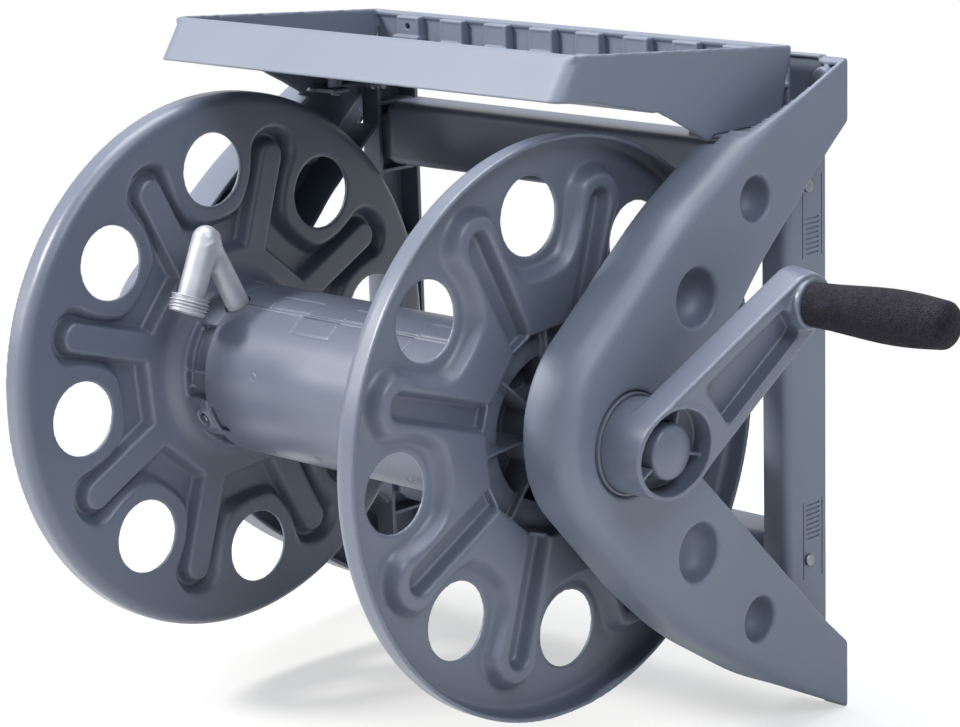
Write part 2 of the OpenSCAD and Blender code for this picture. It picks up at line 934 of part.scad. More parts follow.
// Seat of a screw through the post into the arm, head inside the post
module arm_screw_place(z) {
    translate([post_outer - post_wall, -20, z])
        rotate([0, -90, 0])
            children();
}

module left_post() {
    color(shell_blue)
        mirror([1, 0, 0])
            post();
}

module right_post() {
    color(shell_blue)
        post();
}

// Channel open towards the wall, its ends plugged into the posts
module crossbar(z) {
    x0 = post_outer - post_w;
    inner = post_outer - post_wall;
    difference() {
        union() {
            translate([-x0, -bar_front, z])
                cube([2 * x0, bar_front - 4, bar_h]);
            translate([-inner, -post_d + post_wall, z + 3])
                cube([2 * inner, post_d - 2 * post_wall - 4, bar_h - 6]);
        }
        for (m = [0, 1])
            mirror([m, 0, 0])
                translate([x0 - 10, -bar_front + 2 * post_wall, z + 6])
                    cube([inner - x0 + 10 - post_wall, bar_front, bar_h - 12]);
        difference() {
            translate([-x0 + 4, -bar_front + post_wall, z + post_wall])
                cube([2 * x0 - 8, bar_front, bar_h - 2 * post_wall]);
            for (k = [-3:3])
                translate([k * 46 - 1.2, -bar_front, z])
                    cube([2.4, bar_front - 4, bar_h]);
        }
        translate([-x0 + 24, -bar_front - 1, z + 7])
            cube([2 * x0 - 48, 1.8, bar_h - 14]);
        for (m = [0, 1])
            mirror([m, 0, 0])
                post_screw_place(z + bar_h / 2)
                    translate([0, 0, -8])
                        cylinder(h = 40, r = screw_r);
    }
}

module upper_crossbar() {
    color(shell_blue)
        crossbar(upper_bar_z);
}

module lower_crossbar() {
    color(shell_blue)
        crossbar(lower_bar_z - bar_h);
}

module post_screws() {
    color(steel_grey)
        for (m = [0, 1])
            mirror([m, 0, 0])
                for (s = [upper_bar_z + bar_h / 2, lower_bar_z - bar_h / 2])
                    post_screw_place(s)
                        screw(screw_r, screw_l - 6.5, screw_head_r, screw_head_h);
}

module arm_screws() {
    color(steel_grey)
        for (m = [0, 1])
            mirror([m, 0, 0])
                for (s = [arm_screw_low, arm_screw_high])
                    arm_screw_place(s)
                        screw(screw_r, screw_l, screw_head_r, screw_head_h);
}

// Places relative to the axle, seen from the crank side: y away from the front, z up
wall_y = stand_off;
seat_rel = seat_z - axle_up;
base_rel = -184;
arm_far_top = 230;
arm_far_bottom = -243;
arm_back = [
    [122, seat_rel + 0.4, 5], [wall_y, 211.5, 2], [wall_y, 169.3, 2],
    [196.5, 152, 8], [128.8, 91.8, 80], [38.4, -7.2, 22], [196.5, -164.7, 8],
    [wall_y, -183.7, 2], [wall_y, -230.5, 1], [121.7, base_rel, 5]];
arm_front = [
    [wall_y + 2, arm_far_top, 1], [50.7, 132.5, 300], [-58.5, 42.8, 74], [-58.5, -23.1, 74],
    [15.5, -103.8, 300], [60, -144, 300], [wall_y + 2, arm_far_bottom, 1]];

// Outline of the whole arm ahead of a far back line, drawn in by d
function front_shape(d) =
    outline(concat([[wall_y + 60, arm_far_top, 0.5]], arm_front,
        [[wall_y + 60, arm_far_bottom, 0.5]]), d);

// Cut outline that sets the seat, the back notch and the lower cut
function back_shape(d, far) =
    outline(reverse_list(concat(arm_back, [[-far, base_rel - 0.5, 1], [-far, seat_rel, 1]])), d);

// Solid between outlines that draw in towards the outer face
module front_loft(wall) {
    steps = 6;
    x_top = arm_outer - wall;
    level = concat([[arm_inner - (wall > 0 ? 5 : 0), wall]],
        [for (i = [0:steps])
            let (a = 90 * i / steps)
            [x_top - arm_round_x + arm_round_x * sin(a), wall + arm_round_y * (1 - cos(a))]]);
    rings = [for (v = level)
        [for (p = reverse_list(front_shape(v[1]))) [v[0], p[0], p[1]]]];
    n = len(rings[0]);
    points = [for (r = rings) each r];
    sides = [for (j = [0:len(level) - 2], i = [0:n - 1])
        each [[j * n + i, j * n + (i + 1) % n, (j + 1) * n + (i + 1) % n],
            [j * n + i, (j + 1) * n + (i + 1) % n, (j + 1) * n + i]]];
    last = (len(level) - 1) * n;
    polyhedron(points, concat(sides, [[for (i = [n - 1:-1:0]) i]],
        [[for (i = [0:n - 1]) last + i]]));
}

function reverse_list(v) = [for (i = [len(v) - 1:-1:0]) v[i]];

dimples = [[121.9, 132.6, 14.8], [63.3, 79.6, 19], [63.3, -84.7, 19.4], [123.8, -144.3, 15.4]];

// Hollow side arm on the +X side, open towards the reel
module arm(inlet) {
    difference() {
        union() {
            at_axle()
                intersection() {
                    difference() {
                        front_loft(0);
                        difference() {
                            front_loft(arm_wall);
                            arm_inside();
                        }
                    }
                    along_x(arm_inner - 3, arm_outer)
                        polygon(back_shape(0, 200));
                }
            at_axle()
                arm_hub(inlet);
            tray_tabs();
            arm_wall_pads();
        }
        at_axle()
            rod_x(arm_inner - 5, arm_outer + 5, hub_plug_r);
        at_axle()
            for (v = dimples)
                translate([0, v[0], v[1]])
                    rod_x(arm_outer - 5, arm_outer + 1, v[2]);
        translate([0, -post_d - joint_gap, post_bottom - 60])
            cube([post_outer, post_d + 10, post_top - post_bottom + 160]);
        for (z = [-hole_z, hole_z])
            translate([hole_x, -30, z])
                rotate([-90, 0, 0])
                    cylinder(h = 40, r = wall_hole_r);
        for (s = [arm_screw_low, arm_screw_high])
            arm_screw_place(s)
                translate([0, 0, -15])
                    cylinder(h = 16, r = screw_r);
        if (inlet)
            at_axle()
                for (a = [45, 225])
                    inlet_screw_place(a)
                        translate([0, 0, -16])
                            cylinder(h = 20, r = screw_r);
        for (y = tray_screw_y)
            tray_screw_place(y)
                translate([0, 0, -1])
                    cylinder(h = 10, r = screw_r + 0.2);
        translate([arm_inner - 3, tooth_y - 6, seat_z - 5])
            cube([tray_back_x - arm_inner + 4, 12, 8]);
        translate([arm_inner - 3, tooth_y - 6, seat_z])
            cube([tray_back_x - arm_inner + 4, -tooth_y, 60]);
    }
}

// Walls, ribs and dimple cups left standing in the arm's hollow
module arm_inside() {
    difference() {
        along_x(arm_inner, arm_outer - arm_inner)
            polygon(back_shape(0, 200));
        along_x(arm_inner - 5, arm_outer)
            difference() {
                polygon(back_shape(arm_wall, 200));
                for (a = [118, 150, 195, 232])
                    rotate(a)
                        translate([arm_hub_r - 2, -1.2])
                            square([60, 2.4]);
            }
        along_x(arm_inner - 5, arm_outer)
            open_edge(arm_back[0], arm_back[1], 1);
        along_x(arm_inner - 5, arm_outer)
            open_edge(arm_back[9], arm_back[8], -1);
    }
    for (v = dimples)
        translate([0, v[0], v[1]])
            rod_x(arm_outer - 8, arm_outer, v[2] + 3);
    along_x(arm_inner, arm_outer - arm_inner)
        translate([100, seat_rel - arm_wall])
            square([wall_y - post_d - 100, arm_wall]);
}

// Strip that leaves the edge from a to b without a wall, short of the wall plane
module open_edge(a, b, side) {
    run = flat2(b) - flat2(a);
    translate(flat2(a))
        rotate(atan2(run[1], run[0]))
            translate([side > 0 ? -8 : 5, side > 0 ? -5 : -7])
                square([norm(run) - (side > 0 ? 1 : 9), 12]);
}

module arm_hub(inlet) {
    rod_x(arm_inner, arm_outer, arm_hub_r);
    if (inlet)
        for (a = [45, 225])
            rotate([a, 0, 0])
                translate([0, arm_hub_r + 0.5, 0])
                    rod_x(arm_outer - 18, arm_outer, 4.5);
}

// Bosses that meet the post and carry the wall screws
module arm_wall_pads() {
    for (s = [arm_screw_low, arm_screw_high])
        translate([0, -20, s])
            rod_x(post_outer, arm_outer - 1, 6);
    for (z = [-hole_z, hole_z])
        translate([hole_x, 0, z])
            rotate([90, 0, 0])
                cylinder(h = 14, r = wall_hole_r + 3.2);
}

tray_screw_y = [-52, -90];
tooth_y = -106;

module tray_screw_place(y) {
    translate([arm_inner - 9, y, seat_z - arm_wall])
        children();
}

module tray_tabs() {
    for (y = tray_screw_y)
        tray_screw_place(y)
            translate([-7, -8, 0])
                cube([18, 16, arm_wall]);
}

module left_arm() {
    color(shell_blue)
        mirror([1, 0, 0])
            arm(true);
}

module right_arm() {
    color(shell_blue)
        arm(false);
}

module tray_screws() {
    color(steel_grey)
        for (m = [0, 1])
            mirror([m, 0, 0])
                for (y = tray_screw_y)
                    tray_screw_place(y)
                        mirror([0, 0, 1])
                            screw(screw_r, screw_l, screw_head_r, screw_head_h);
}

// Underside of the tray's floor, which falls from the lip to its flat rear part
tray_under = [
    [-tray_front_y + 1, tray_front_bottom + 0.2],
    [-tray_front_y + 34, tray_front_bottom - 3.4],
    [-tray_front_y + 87, tray_floor - tray_wall],
    [-tray_back_y, tray_floor - tray_wall]];

// Side view of the tray's side wall: y from the wall, z up
tray_side = [
    [-tray_front_y, tray_front_bottom, 1], [-tray_front_y + 34, tray_front_bottom - 3.5, 30],
    [-tray_front_y + 86.2, tray_floor - 0.5, 60], [-127, 184, 20], [tooth_y - 1, seat_z - 3.5, 0.8],
    [tooth_y + 4, seat_z + 0.1, 2],
    [-37, seat_z + 0.1, 3], [-tray_back_y, tray_back_top, 2],
    [-tray_front_y + 18.2, tray_front_top, 2]];

// Plan of the tray, drawn in by the wall
module tray_plan(d) {
    polygon([[-tray_front_x + d, -tray_front_y + d], [tray_front_x - d, -tray_front_y + d],
        [tray_back_x - d, -tray_back_y - d], [-tray_back_x + d, -tray_back_y - d]]);
}

module tray_side_wall() {
    translate([tray_front_x, -tray_front_y, 0])
        rotate([0, 0, -tray_skew])
            translate([-tray_wall, tray_front_y, 0])
                along_x(0, tray_wall)
                    polygon(outline(tray_side));
}

module tray() {
    lean = 18.2 / (tray_front_top - tray_front_bottom);
    back_rib = 42.74;
    color(shell_blue)
        difference() {
            union() {
                for (m = [0, 1])
                    mirror([m, 0, 0])
                        tray_side_wall();
                intersection() {
                    along_x(-tray_back_x, 2 * tray_back_x)
                        polygon([[-tray_front_y, tray_front_bottom],
                            [-tray_front_y + tray_wall, tray_front_bottom],
                            [-tray_front_y + 18.2 + tray_wall, tray_front_top],
                            [-tray_front_y + 18.2, tray_front_top]]);
                    translate([0, 0, tray_front_bottom - 1])
                        linear_extrude(60)
                            tray_plan(0.2);
                }
                intersection() {
                    along_x(-tray_back_x, 2 * tray_back_x)
                        polygon(concat(tray_under, [for (i = [3:-1:0])
                            tray_under[i] + [0, tray_wall]]));
                    linear_extrude(2 * tray_floor)
                        tray_plan(1);
                }
                translate([-tray_back_x + 1, -tray_back_y - tray_wall, seat_z + 0.1])
                    cube([2 * tray_back_x - 2, tray_wall, tray_back_top - seat_z - 0.4]);
                for (k = [-3.5:3.5])
                    translate([k * back_rib - 10, -tray_back_y - tray_wall - 7, tray_floor - 1])
                        cube([20, 8, 4]);
                for (k = [-3.5:3.5])
                    translate([k * back_rib + 9, -tray_back_y - tray_wall - 7, tray_floor - 1])
                        cube([2, 8, tray_back_top - tray_floor - 3]);
                for (m = [0, 1])
                    mirror([m, 0, 0])
                        for (y = tray_screw_y)
                            tray_screw_place(y)
                                translate([0, 0, arm_wall])
                                    cylinder(h = tray_floor - seat_z - 1, r = 5);
            }
            for (m = [0, 1])
                mirror([m, 0, 0])
                    for (y = tray_screw_y)
                        tray_screw_place(y)
                            translate([0, 0, arm_wall - 1])
                                cylinder(h = 14, r = screw_r);
        }
}

left_post();
right_post();
upper_crossbar();
lower_crossbar();
left_arm();
right_arm();
tray();
post_screws();
arm_screws();
tray_screws();
left_flange();
right_flange();
left_hub();
right_hub();
front_drum_shell();
rear_drum_shell();
drum_screws();
outlet_gooseneck();
inlet_tube();
inlet_screws();
o_rings();
inlet_nut();
inlet_washer();
crank_bushing();
crank();
crank_screw();
crank_washer();
crank_cap();
handle_pin();
handle_nut();
grip_core();
foam_grip();
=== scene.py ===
import json
import math

import bpy
import numpy as np
from mathutils import Matrix, Vector

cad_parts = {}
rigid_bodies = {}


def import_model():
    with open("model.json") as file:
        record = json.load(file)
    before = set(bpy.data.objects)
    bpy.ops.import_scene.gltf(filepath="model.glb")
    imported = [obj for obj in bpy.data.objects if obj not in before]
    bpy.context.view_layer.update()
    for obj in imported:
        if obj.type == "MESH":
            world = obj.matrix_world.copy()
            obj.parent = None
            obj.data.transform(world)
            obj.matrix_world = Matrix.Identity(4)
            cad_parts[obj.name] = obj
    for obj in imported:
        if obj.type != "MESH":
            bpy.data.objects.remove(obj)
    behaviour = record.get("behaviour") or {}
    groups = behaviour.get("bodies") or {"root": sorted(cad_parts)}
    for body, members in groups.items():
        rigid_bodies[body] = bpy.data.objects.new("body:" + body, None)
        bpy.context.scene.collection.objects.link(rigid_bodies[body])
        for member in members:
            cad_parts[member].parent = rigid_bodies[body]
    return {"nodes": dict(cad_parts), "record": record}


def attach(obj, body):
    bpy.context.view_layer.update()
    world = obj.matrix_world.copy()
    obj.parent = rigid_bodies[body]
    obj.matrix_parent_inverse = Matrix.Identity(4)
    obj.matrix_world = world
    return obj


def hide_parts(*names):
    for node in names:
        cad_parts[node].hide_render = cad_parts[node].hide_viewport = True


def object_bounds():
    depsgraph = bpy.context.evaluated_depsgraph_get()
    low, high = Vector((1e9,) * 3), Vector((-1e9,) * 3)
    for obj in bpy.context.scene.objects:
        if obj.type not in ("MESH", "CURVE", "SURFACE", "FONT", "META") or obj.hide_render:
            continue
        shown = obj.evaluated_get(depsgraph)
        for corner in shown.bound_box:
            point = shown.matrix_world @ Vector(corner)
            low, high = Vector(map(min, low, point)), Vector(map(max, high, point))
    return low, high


for left_over in list(bpy.data.objects):
    bpy.data.objects.remove(left_over)
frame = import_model()
bpy.context.view_layer.update()
cad_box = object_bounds()
bpy.context.scene.view_settings.view_transform = "Standard"
NODES = frame["nodes"]

# Shapes are worked out in millimetres; the frame is in metres.
MM_PER_M = 1000.0
# The reel's axle in the part's frame: x across, y into the wall, z up.
WALL_FROM_AXLE, AXLE_UP = 218.0, 5.0
AXLE = np.array([0.0, -WALL_FROM_AXLE, AXLE_UP])
PART_ORIGIN = np.zeros(3)
# A distance beyond all others, where a field starts.
FAR = 1e9


# ---------------------------------------------------------------- camera
# Found by calibrating the photograph: angles in degrees, place in metres, lens in millimetres.
CAMERA_AZIMUTH, CAMERA_ELEVATION, CAMERA_ROLL = 43.81, 13.49, 1.643
CAMERA_PLACE = (1.394, -1.5789, 0.4895)
CAMERA_LENS, CAMERA_SENSOR = 114.8, 36.0


def make_camera():
    azimuth, elevation, roll = (math.radians(v) for v in (CAMERA_AZIMUTH, CAMERA_ELEVATION, CAMERA_ROLL))
    level = math.cos(elevation)
    ahead = Vector((-math.sin(azimuth) * level, math.cos(azimuth) * level, -math.sin(elevation)))
    right = Vector((math.cos(azimuth), math.sin(azimuth), 0.0))
    down = ahead.cross(right)
    right, down = (math.cos(roll) * right + math.sin(roll) * down,
                   math.cos(roll) * down - math.sin(roll) * right)
    data = bpy.data.cameras.new("photo_camera")
    data.sensor_width = CAMERA_SENSOR
    data.lens = CAMERA_LENS
    data.clip_start, data.clip_end = 0.05, 20.0
    cam = bpy.data.objects.new("photo_camera", data)
    bpy.context.scene.collection.objects.link(cam)
    turn = Matrix((right, -down, -ahead)).transposed().to_4x4()
    cam.matrix_world = Matrix.Translation(Vector(CAMERA_PLACE)) @ turn
    bpy.context.scene.camera = cam


# ---------------------------------------------------------------- materials
def linear(r, g, b):
    """sRGB numbers from 0 to 255 as a linear colour."""
    def one(v):
        v /= 255.0
        return v / 12.92 if v <= 0.04045 else ((v + 0.055) / 1.055) ** 2.4
    return (one(r), one(g), one(b), 1.0)


class Nodes:
    """Short names for building a node tree."""

    def __init__(self, name):
        self.mat = bpy.data.materials.new(name)
        self.mat.use_nodes = True
        self.tree = self.mat.node_tree
        self.tree.nodes.clear()
        self.out = self.add("ShaderNodeOutputMaterial")
        self.bsdf = self.add("ShaderNodeBsdfPrincipled")
        self.link(self.bsdf.outputs["BSDF"], self.out.inputs["Surface"])
        self.coord = self.add("ShaderNodeTexCoord").outputs["Object"]

    def add(self, kind, **sets):
        node = self.tree.nodes.new(kind)
        for key, value in sets.items():
            setattr(node, key, value)
        return node

    def link(self, a, b):
        self.tree.links.new(a, b)

    def noise(self, scale, detail=4.0, rough=0.55, stretch=None):
        source = self.coord
        if stretch:
            mapping = self.add("ShaderNodeMapping")
            mapping.inputs["Scale"].default_value = stretch
            self.link(source, mapping.inputs["Vector"])
            source = mapping.outputs["Vector"]
        node = self.add("ShaderNodeTexNoise")
        node.inputs["Scale"].default_value = scale
        node.inputs["Detail"].default_value = detail
        node.inputs["Roughness"].default_value = rough
        self.link(source, node.inputs["Vector"])
        return node.outputs["Fac"]

    def ramp(self, source, low, high, to_low=0.0, to_high=1.0):
        node = self.add("ShaderNodeMapRange")
        node.inputs["From Min"].default_value = low
        node.inputs["From Max"].default_value = high
        node.inputs["To Min"].default_value = to_low
        node.inputs["To Max"].default_value = to_high
        self.link(source, node.inputs["Value"])
        return node.outputs["Result"]

    def mix(self, fac, a, b):
        node = self.add("ShaderNodeMix", data_type="RGBA")
        for value, socket in ((a, node.inputs[6]), (b, node.inputs[7])):
            if isinstance(value, tuple):
                socket.default_value = value
            else:
                self.link(value, socket)
        if isinstance(fac, float):
            node.inputs[0].default_value = fac
        else:
            self.link(fac, node.inputs[0])
        return node.outputs[2]

    def math(self, kind, a, b):
        node = self.add("ShaderNodeMath", operation=kind)
        for value, socket in ((a, node.inputs[0]), (b, node.inputs[1])):
            if isinstance(value, (int, float)):
                socket.default_value = value
            else:
                self.link(value, socket)
        return node.outputs[0]

    def edges(self, radius):
        """1 along edges, 0 on flat faces."""
        rounded = self.add("ShaderNodeBevel", samples=4)
        rounded.inputs["Radius"].default_value = radius
        dot = self.add("ShaderNodeVectorMath", operation="DOT_PRODUCT")
        self.link(rounded.outputs["Normal"], dot.inputs[0])
        self.link(self.add("ShaderNodeNewGeometry").outputs["True Normal"], dot.inputs[1])
        return self.ramp(dot.outputs["Value"], 0.995, 0.9)

    def bump(self, height, strength, distance, under=None):
        node = self.add("ShaderNodeBump")
        node.inputs["Strength"].default_value = strength
        node.inputs["Distance"].default_value = distance
        self.link(height, node.inputs["Height"])
        if under is not None:
            self.link(under, node.inputs["Normal"])
        return node.outputs["Normal"]


def moulded(name, base, lighter, darker, edge, rough=0.46, grain=0.35, specular=0.45):
    """Moulded plastic: faint flow and cooling tones, edges lighter from scuffing and from a painted
    highlight, fine eroded grain.
    """
    n = Nodes(name)
    broad = n.noise(5.0, 2.0)
    flow = n.noise(30.0, 5.0, 0.6, (1.0, 1.0, 0.35))
    speck = n.noise(900.0, 2.0)
    tone = n.mix(n.ramp(broad, 0.35, 0.65), darker, lighter)
    tone = n.mix(n.ramp(flow, 0.3, 0.7, 0.0, 0.45), tone, base)
    # edges lighter in patches: partly scuffing, partly a painted highlight along them
    worn_and_highlit = n.math("MULTIPLY", n.edges(0.0012), n.ramp(n.noise(60.0, 6.0, 0.7), 0.35, 0.65))
    tone = n.mix(n.math("MULTIPLY", worn_and_highlit, 0.55), tone, edge)
    tone = n.mix(n.ramp(speck, 0.62, 0.75, 0.0, 0.25), tone, darker)
    n.link(tone, n.bsdf.inputs["Base Color"])
    shine = n.ramp(n.noise(22.0, 5.0, 0.65), 0.3, 0.7, rough - 0.02, rough + 0.03)
    shine = n.math("ADD", shine, n.math("MULTIPLY", n.ramp(speck, 0.4, 0.6), 0.04))
    n.link(shine, n.bsdf.inputs["Roughness"])
    fine = n.noise(1900.0, 3.0, 0.6)
    waves = n.noise(14.0, 2.0)
    under = n.bump(waves, 0.04, 0.004)
    n.link(n.bump(fine, grain, 0.00022, under), n.bsdf.inputs["Normal"])
    n.bsdf.inputs["Specular IOR Level"].default_value = specular
    return n.mat


def cast_metal(name):
    """Cast and tumbled light metal: mottled tone, dull shine, tiny pits."""
    n = Nodes(name)
    patch = n.noise(70.0, 6.0, 0.65)
    tone = n.mix(n.ramp(patch, 0.3, 0.7), linear(154, 158, 167), linear(169, 173, 181))
    stain = n.noise(25.0, 4.0)
    tone = n.mix(n.ramp(stain, 0.5, 0.75, 0.0, 0.2), tone, linear(138, 142, 151))
    n.link(tone, n.bsdf.inputs["Base Color"])
    n.link(n.ramp(patch, 0.25, 0.75, 0.42, 0.5), n.bsdf.inputs["Roughness"])
    n.bsdf.inputs["Metallic"].default_value = 0.35
    under = n.bump(n.noise(120.0, 4.0), 0.06, 0.0012)
    n.link(n.bump(n.noise(1500.0, 3.0), 0.3, 0.0002, under), n.bsdf.inputs["Normal"])
    return n.mat


def zinc(name):
    """Zinc plated steel: cloudy grey, drawn along the screw."""
    n = Nodes(name)
    patch = n.noise(160.0, 5.0, 0.6)
    tone = n.mix(n.ramp(patch, 0.3, 0.7), linear(112, 115, 121), linear(140, 143, 149))
    n.link(tone, n.bsdf.inputs["Base Color"])
    n.link(n.ramp(patch, 0.3, 0.7, 0.28, 0.44), n.bsdf.inputs["Roughness"])
    n.bsdf.inputs["Metallic"].default_value = 1.0
    n.link(n.bump(n.noise(900.0, 3.0, 0.6, (1.0, 6.0, 6.0)), 0.2, 0.0002), n.bsdf.inputs["Normal"])
    return n.mat


def foam(name):
    """Closed-cell foam rubber: pinhole cells with painted shade in them, larger pits and a dull, blotchy
    skin.
    """
    n = Nodes(name)
    cells = n.add("ShaderNodeTexVoronoi")
    cells.inputs["Scale"].default_value = 950.0
    n.link(n.coord, cells.inputs["Vector"])
    holes = n.ramp(cells.outputs["Distance"], 0.1, 0.55)
    big = n.add("ShaderNodeTexVoronoi")
    big.inputs["Scale"].default_value = 330.0
    n.link(n.coord, big.inputs["Vector"])
    pits = n.ramp(big.outputs["Distance"], 0.05, 0.35)
    tone = n.mix(n.ramp(n.noise(420.0, 4.0, 0.65), 0.4, 0.62), linear(12, 10, 17), linear(27, 24, 37))
    # the pinhole cells are darkened: painted shade inside them
    tone = n.mix(n.ramp(holes, 0.0, 1.0, 0.55, 0.0), tone, linear(8, 7, 9))
    n.link(tone, n.bsdf.inputs["Base Color"])
    n.link(n.ramp(n.noise(90.0, 4.0), 0.3, 0.7, 0.72, 0.9), n.bsdf.inputs["Roughness"])
    under = n.bump(pits, 0.5, 0.0006)
    n.link(n.bump(holes, 1.0, 0.0005, under), n.bsdf.inputs["Normal"])
    n.bsdf.inputs["Specular IOR Level"].default_value = 0.2
    n.bsdf.inputs["Sheen Weight"].default_value = 0.02
    return n.mat


def rubber(name):
    """Smooth seal rubber with a faint bloom."""
    n = Nodes(name)
    tone = n.mix(n.ramp(n.noise(80.0, 4.0), 0.35, 0.65), linear(26, 26, 27), linear(44, 43, 44))
    n.link(tone, n.bsdf.inputs["Base Color"])
    n.link(n.ramp(n.noise(140.0, 4.0), 0.3, 0.7, 0.5, 0.68), n.bsdf.inputs["Roughness"])
    n.link(n.bump(n.noise(1200.0, 3.0), 0.2, 0.0002), n.bsdf.inputs["Normal"])
    return n.mat


# material slot of the record -> material; moulded colours are base, lighter, darker, and the edges' colour,
# which is partly scuffing and partly a painted highlight
MATERIALS = {
    "frame_plastic": moulded("frame_moulding", linear(96, 104, 119), linear(98, 106, 121),
                             linear(94, 102, 117), linear(127, 134, 150)),
    "reel_plastic": moulded("reel_moulding", linear(88, 95, 110), linear(90, 97, 112),
                            linear(86, 93, 108), linear(121, 128, 144), 0.31),
    "bearing_plastic": moulded("bearing_moulding", linear(76, 82, 95), linear(79, 85, 98),
                               linear(73, 79, 92), linear(110, 116, 130), 0.38, 0.2),
    "outlet_metal": cast_metal("cast_fitting"),
    "steel": zinc("zinc_steel"),
    "foam": foam("foam_rubber"),
    "seal": rubber("seal_rubber"),
}
SLOT_OF = {row["node"]: row["material_slot"] for row in frame["record"]["subparts"]}


# ---------------------------------------------------------------- stage
FLOOR_HALF = 6.0
FLOOR_TONE = (0.8, 0.8, 0.8, 1.0)
# The camera sees the floor as partly its own white, fully so from FLOOR_FAR metres away.
FLOOR_NEAR, FLOOR_FAR, FLOOR_WHITE_NEAR = 0.35, 1.1, 0.55
SKY_TINT, SKY_STRENGTH = (0.93, 0.96, 1.0, 1), 0.17


def make_floor():
    h, z = FLOOR_HALF, cad_box[0].z
    mesh = bpy.data.meshes.new("floor")
    mesh.from_pydata([(-h, -h, z), (h, -h, z), (h, h, z), (-h, h, z)], [], [(0, 1, 2, 3)])
    floor = bpy.data.objects.new("floor", mesh)
    bpy.context.scene.collection.objects.link(floor)
    n = Nodes("pale_floor")
    n.bsdf.inputs["Base Color"].default_value = FLOOR_TONE
    n.bsdf.inputs["Roughness"].default_value = 0.9
    white = n.add("ShaderNodeEmission")
    away = n.add("ShaderNodeVectorMath", operation="LENGTH")
    n.link(n.coord, away.inputs[0])
    own_white = n.ramp(away.outputs["Value"], FLOOR_NEAR, FLOOR_FAR, FLOOR_WHITE_NEAR, 1.0)
    blend = n.math("MULTIPLY", own_white, n.add("ShaderNodeLightPath").outputs["Is Camera Ray"])
    mix = n.add("ShaderNodeMixShader")
    n.link(blend, mix.inputs["Fac"])
    n.link(n.bsdf.outputs["BSDF"], mix.inputs[1])
    n.link(white.outputs["Emission"], mix.inputs[2])
    n.link(mix.outputs["Shader"], n.out.inputs["Surface"])
    mesh.materials.append(n.mat)


def make_world():
    """White to the camera and in reflections, a faint even light to everything else."""
    world = bpy.data.worlds.new("studio")
    bpy.context.scene.world = world
    world.use_nodes = True
    tree = world.node_tree
    tree.nodes.clear()
    link = tree.links.new

    def background(colour, strength):
        node = tree.nodes.new("ShaderNodeBackground")
        node.inputs["Color"].default_value = colour
        node.inputs["Strength"].default_value = strength
        return node.outputs[0]

    def larger(a, b):
        node = tree.nodes.new("ShaderNodeMath")
        node.operation = "MAXIMUM"
        link(a, node.inputs[0])
        link(b, node.inputs[1])
        return node.outputs[0]

    ray = tree.nodes.new("ShaderNodeLightPath").outputs
    mix = tree.nodes.new("ShaderNodeMixShader")
    seen = larger(larger(ray["Is Camera Ray"], ray["Is Transmission Ray"]), ray["Is Glossy Ray"])
    link(seen, mix.inputs["Fac"])
    link(background(SKY_TINT, SKY_STRENGTH), mix.inputs[1])
    link(background((1, 1, 1, 1), 1.0), mix.inputs[2])
    link(mix.outputs[0], tree.nodes.new("ShaderNodeOutputWorld").inputs["Surface"])


def lamp(name, place, aim, size, power, colour=(1, 1, 1)):
    """A rectangular lamp: metres, watts, and a colour near white."""
    data = bpy.data.lights.new(name, "AREA")
    data.shape = "RECTANGLE"
    data.size, data.size_y = size
    data.energy = power
    data.color = colour
    obj = bpy.data.objects.new(name, data)
    bpy.context.scene.collection.objects.link(obj)
    obj.location = place
    obj.rotation_mode = "QUATERNION"
    obj.rotation_quaternion = (Vector(aim) - Vector(place)).to_track_quat("-Z", "Y")


make_camera()
make_floor()
make_world()
lamp("key_left", (-1.3, -2.3, 2.0), (0.0, -0.2, 0.05), (0.55, 0.55), 128.0, (1.0, 0.97, 0.93))
lamp("glint_left", (-2.15, -2.4, 0.9), (0.0, -0.2, 0.0), (0.4, 0.4), 20.0)
lamp("fill_right", (1.5, -0.65, 1.5), (0.15, -0.15, 0.05), (1.0, 1.0), 25.5, (0.88, 0.94, 1.0))
lamp("top", (-0.3, 0.1, 2.6), (0.0, -0.2, 0.0), (2.0, 1.6), 95.0)


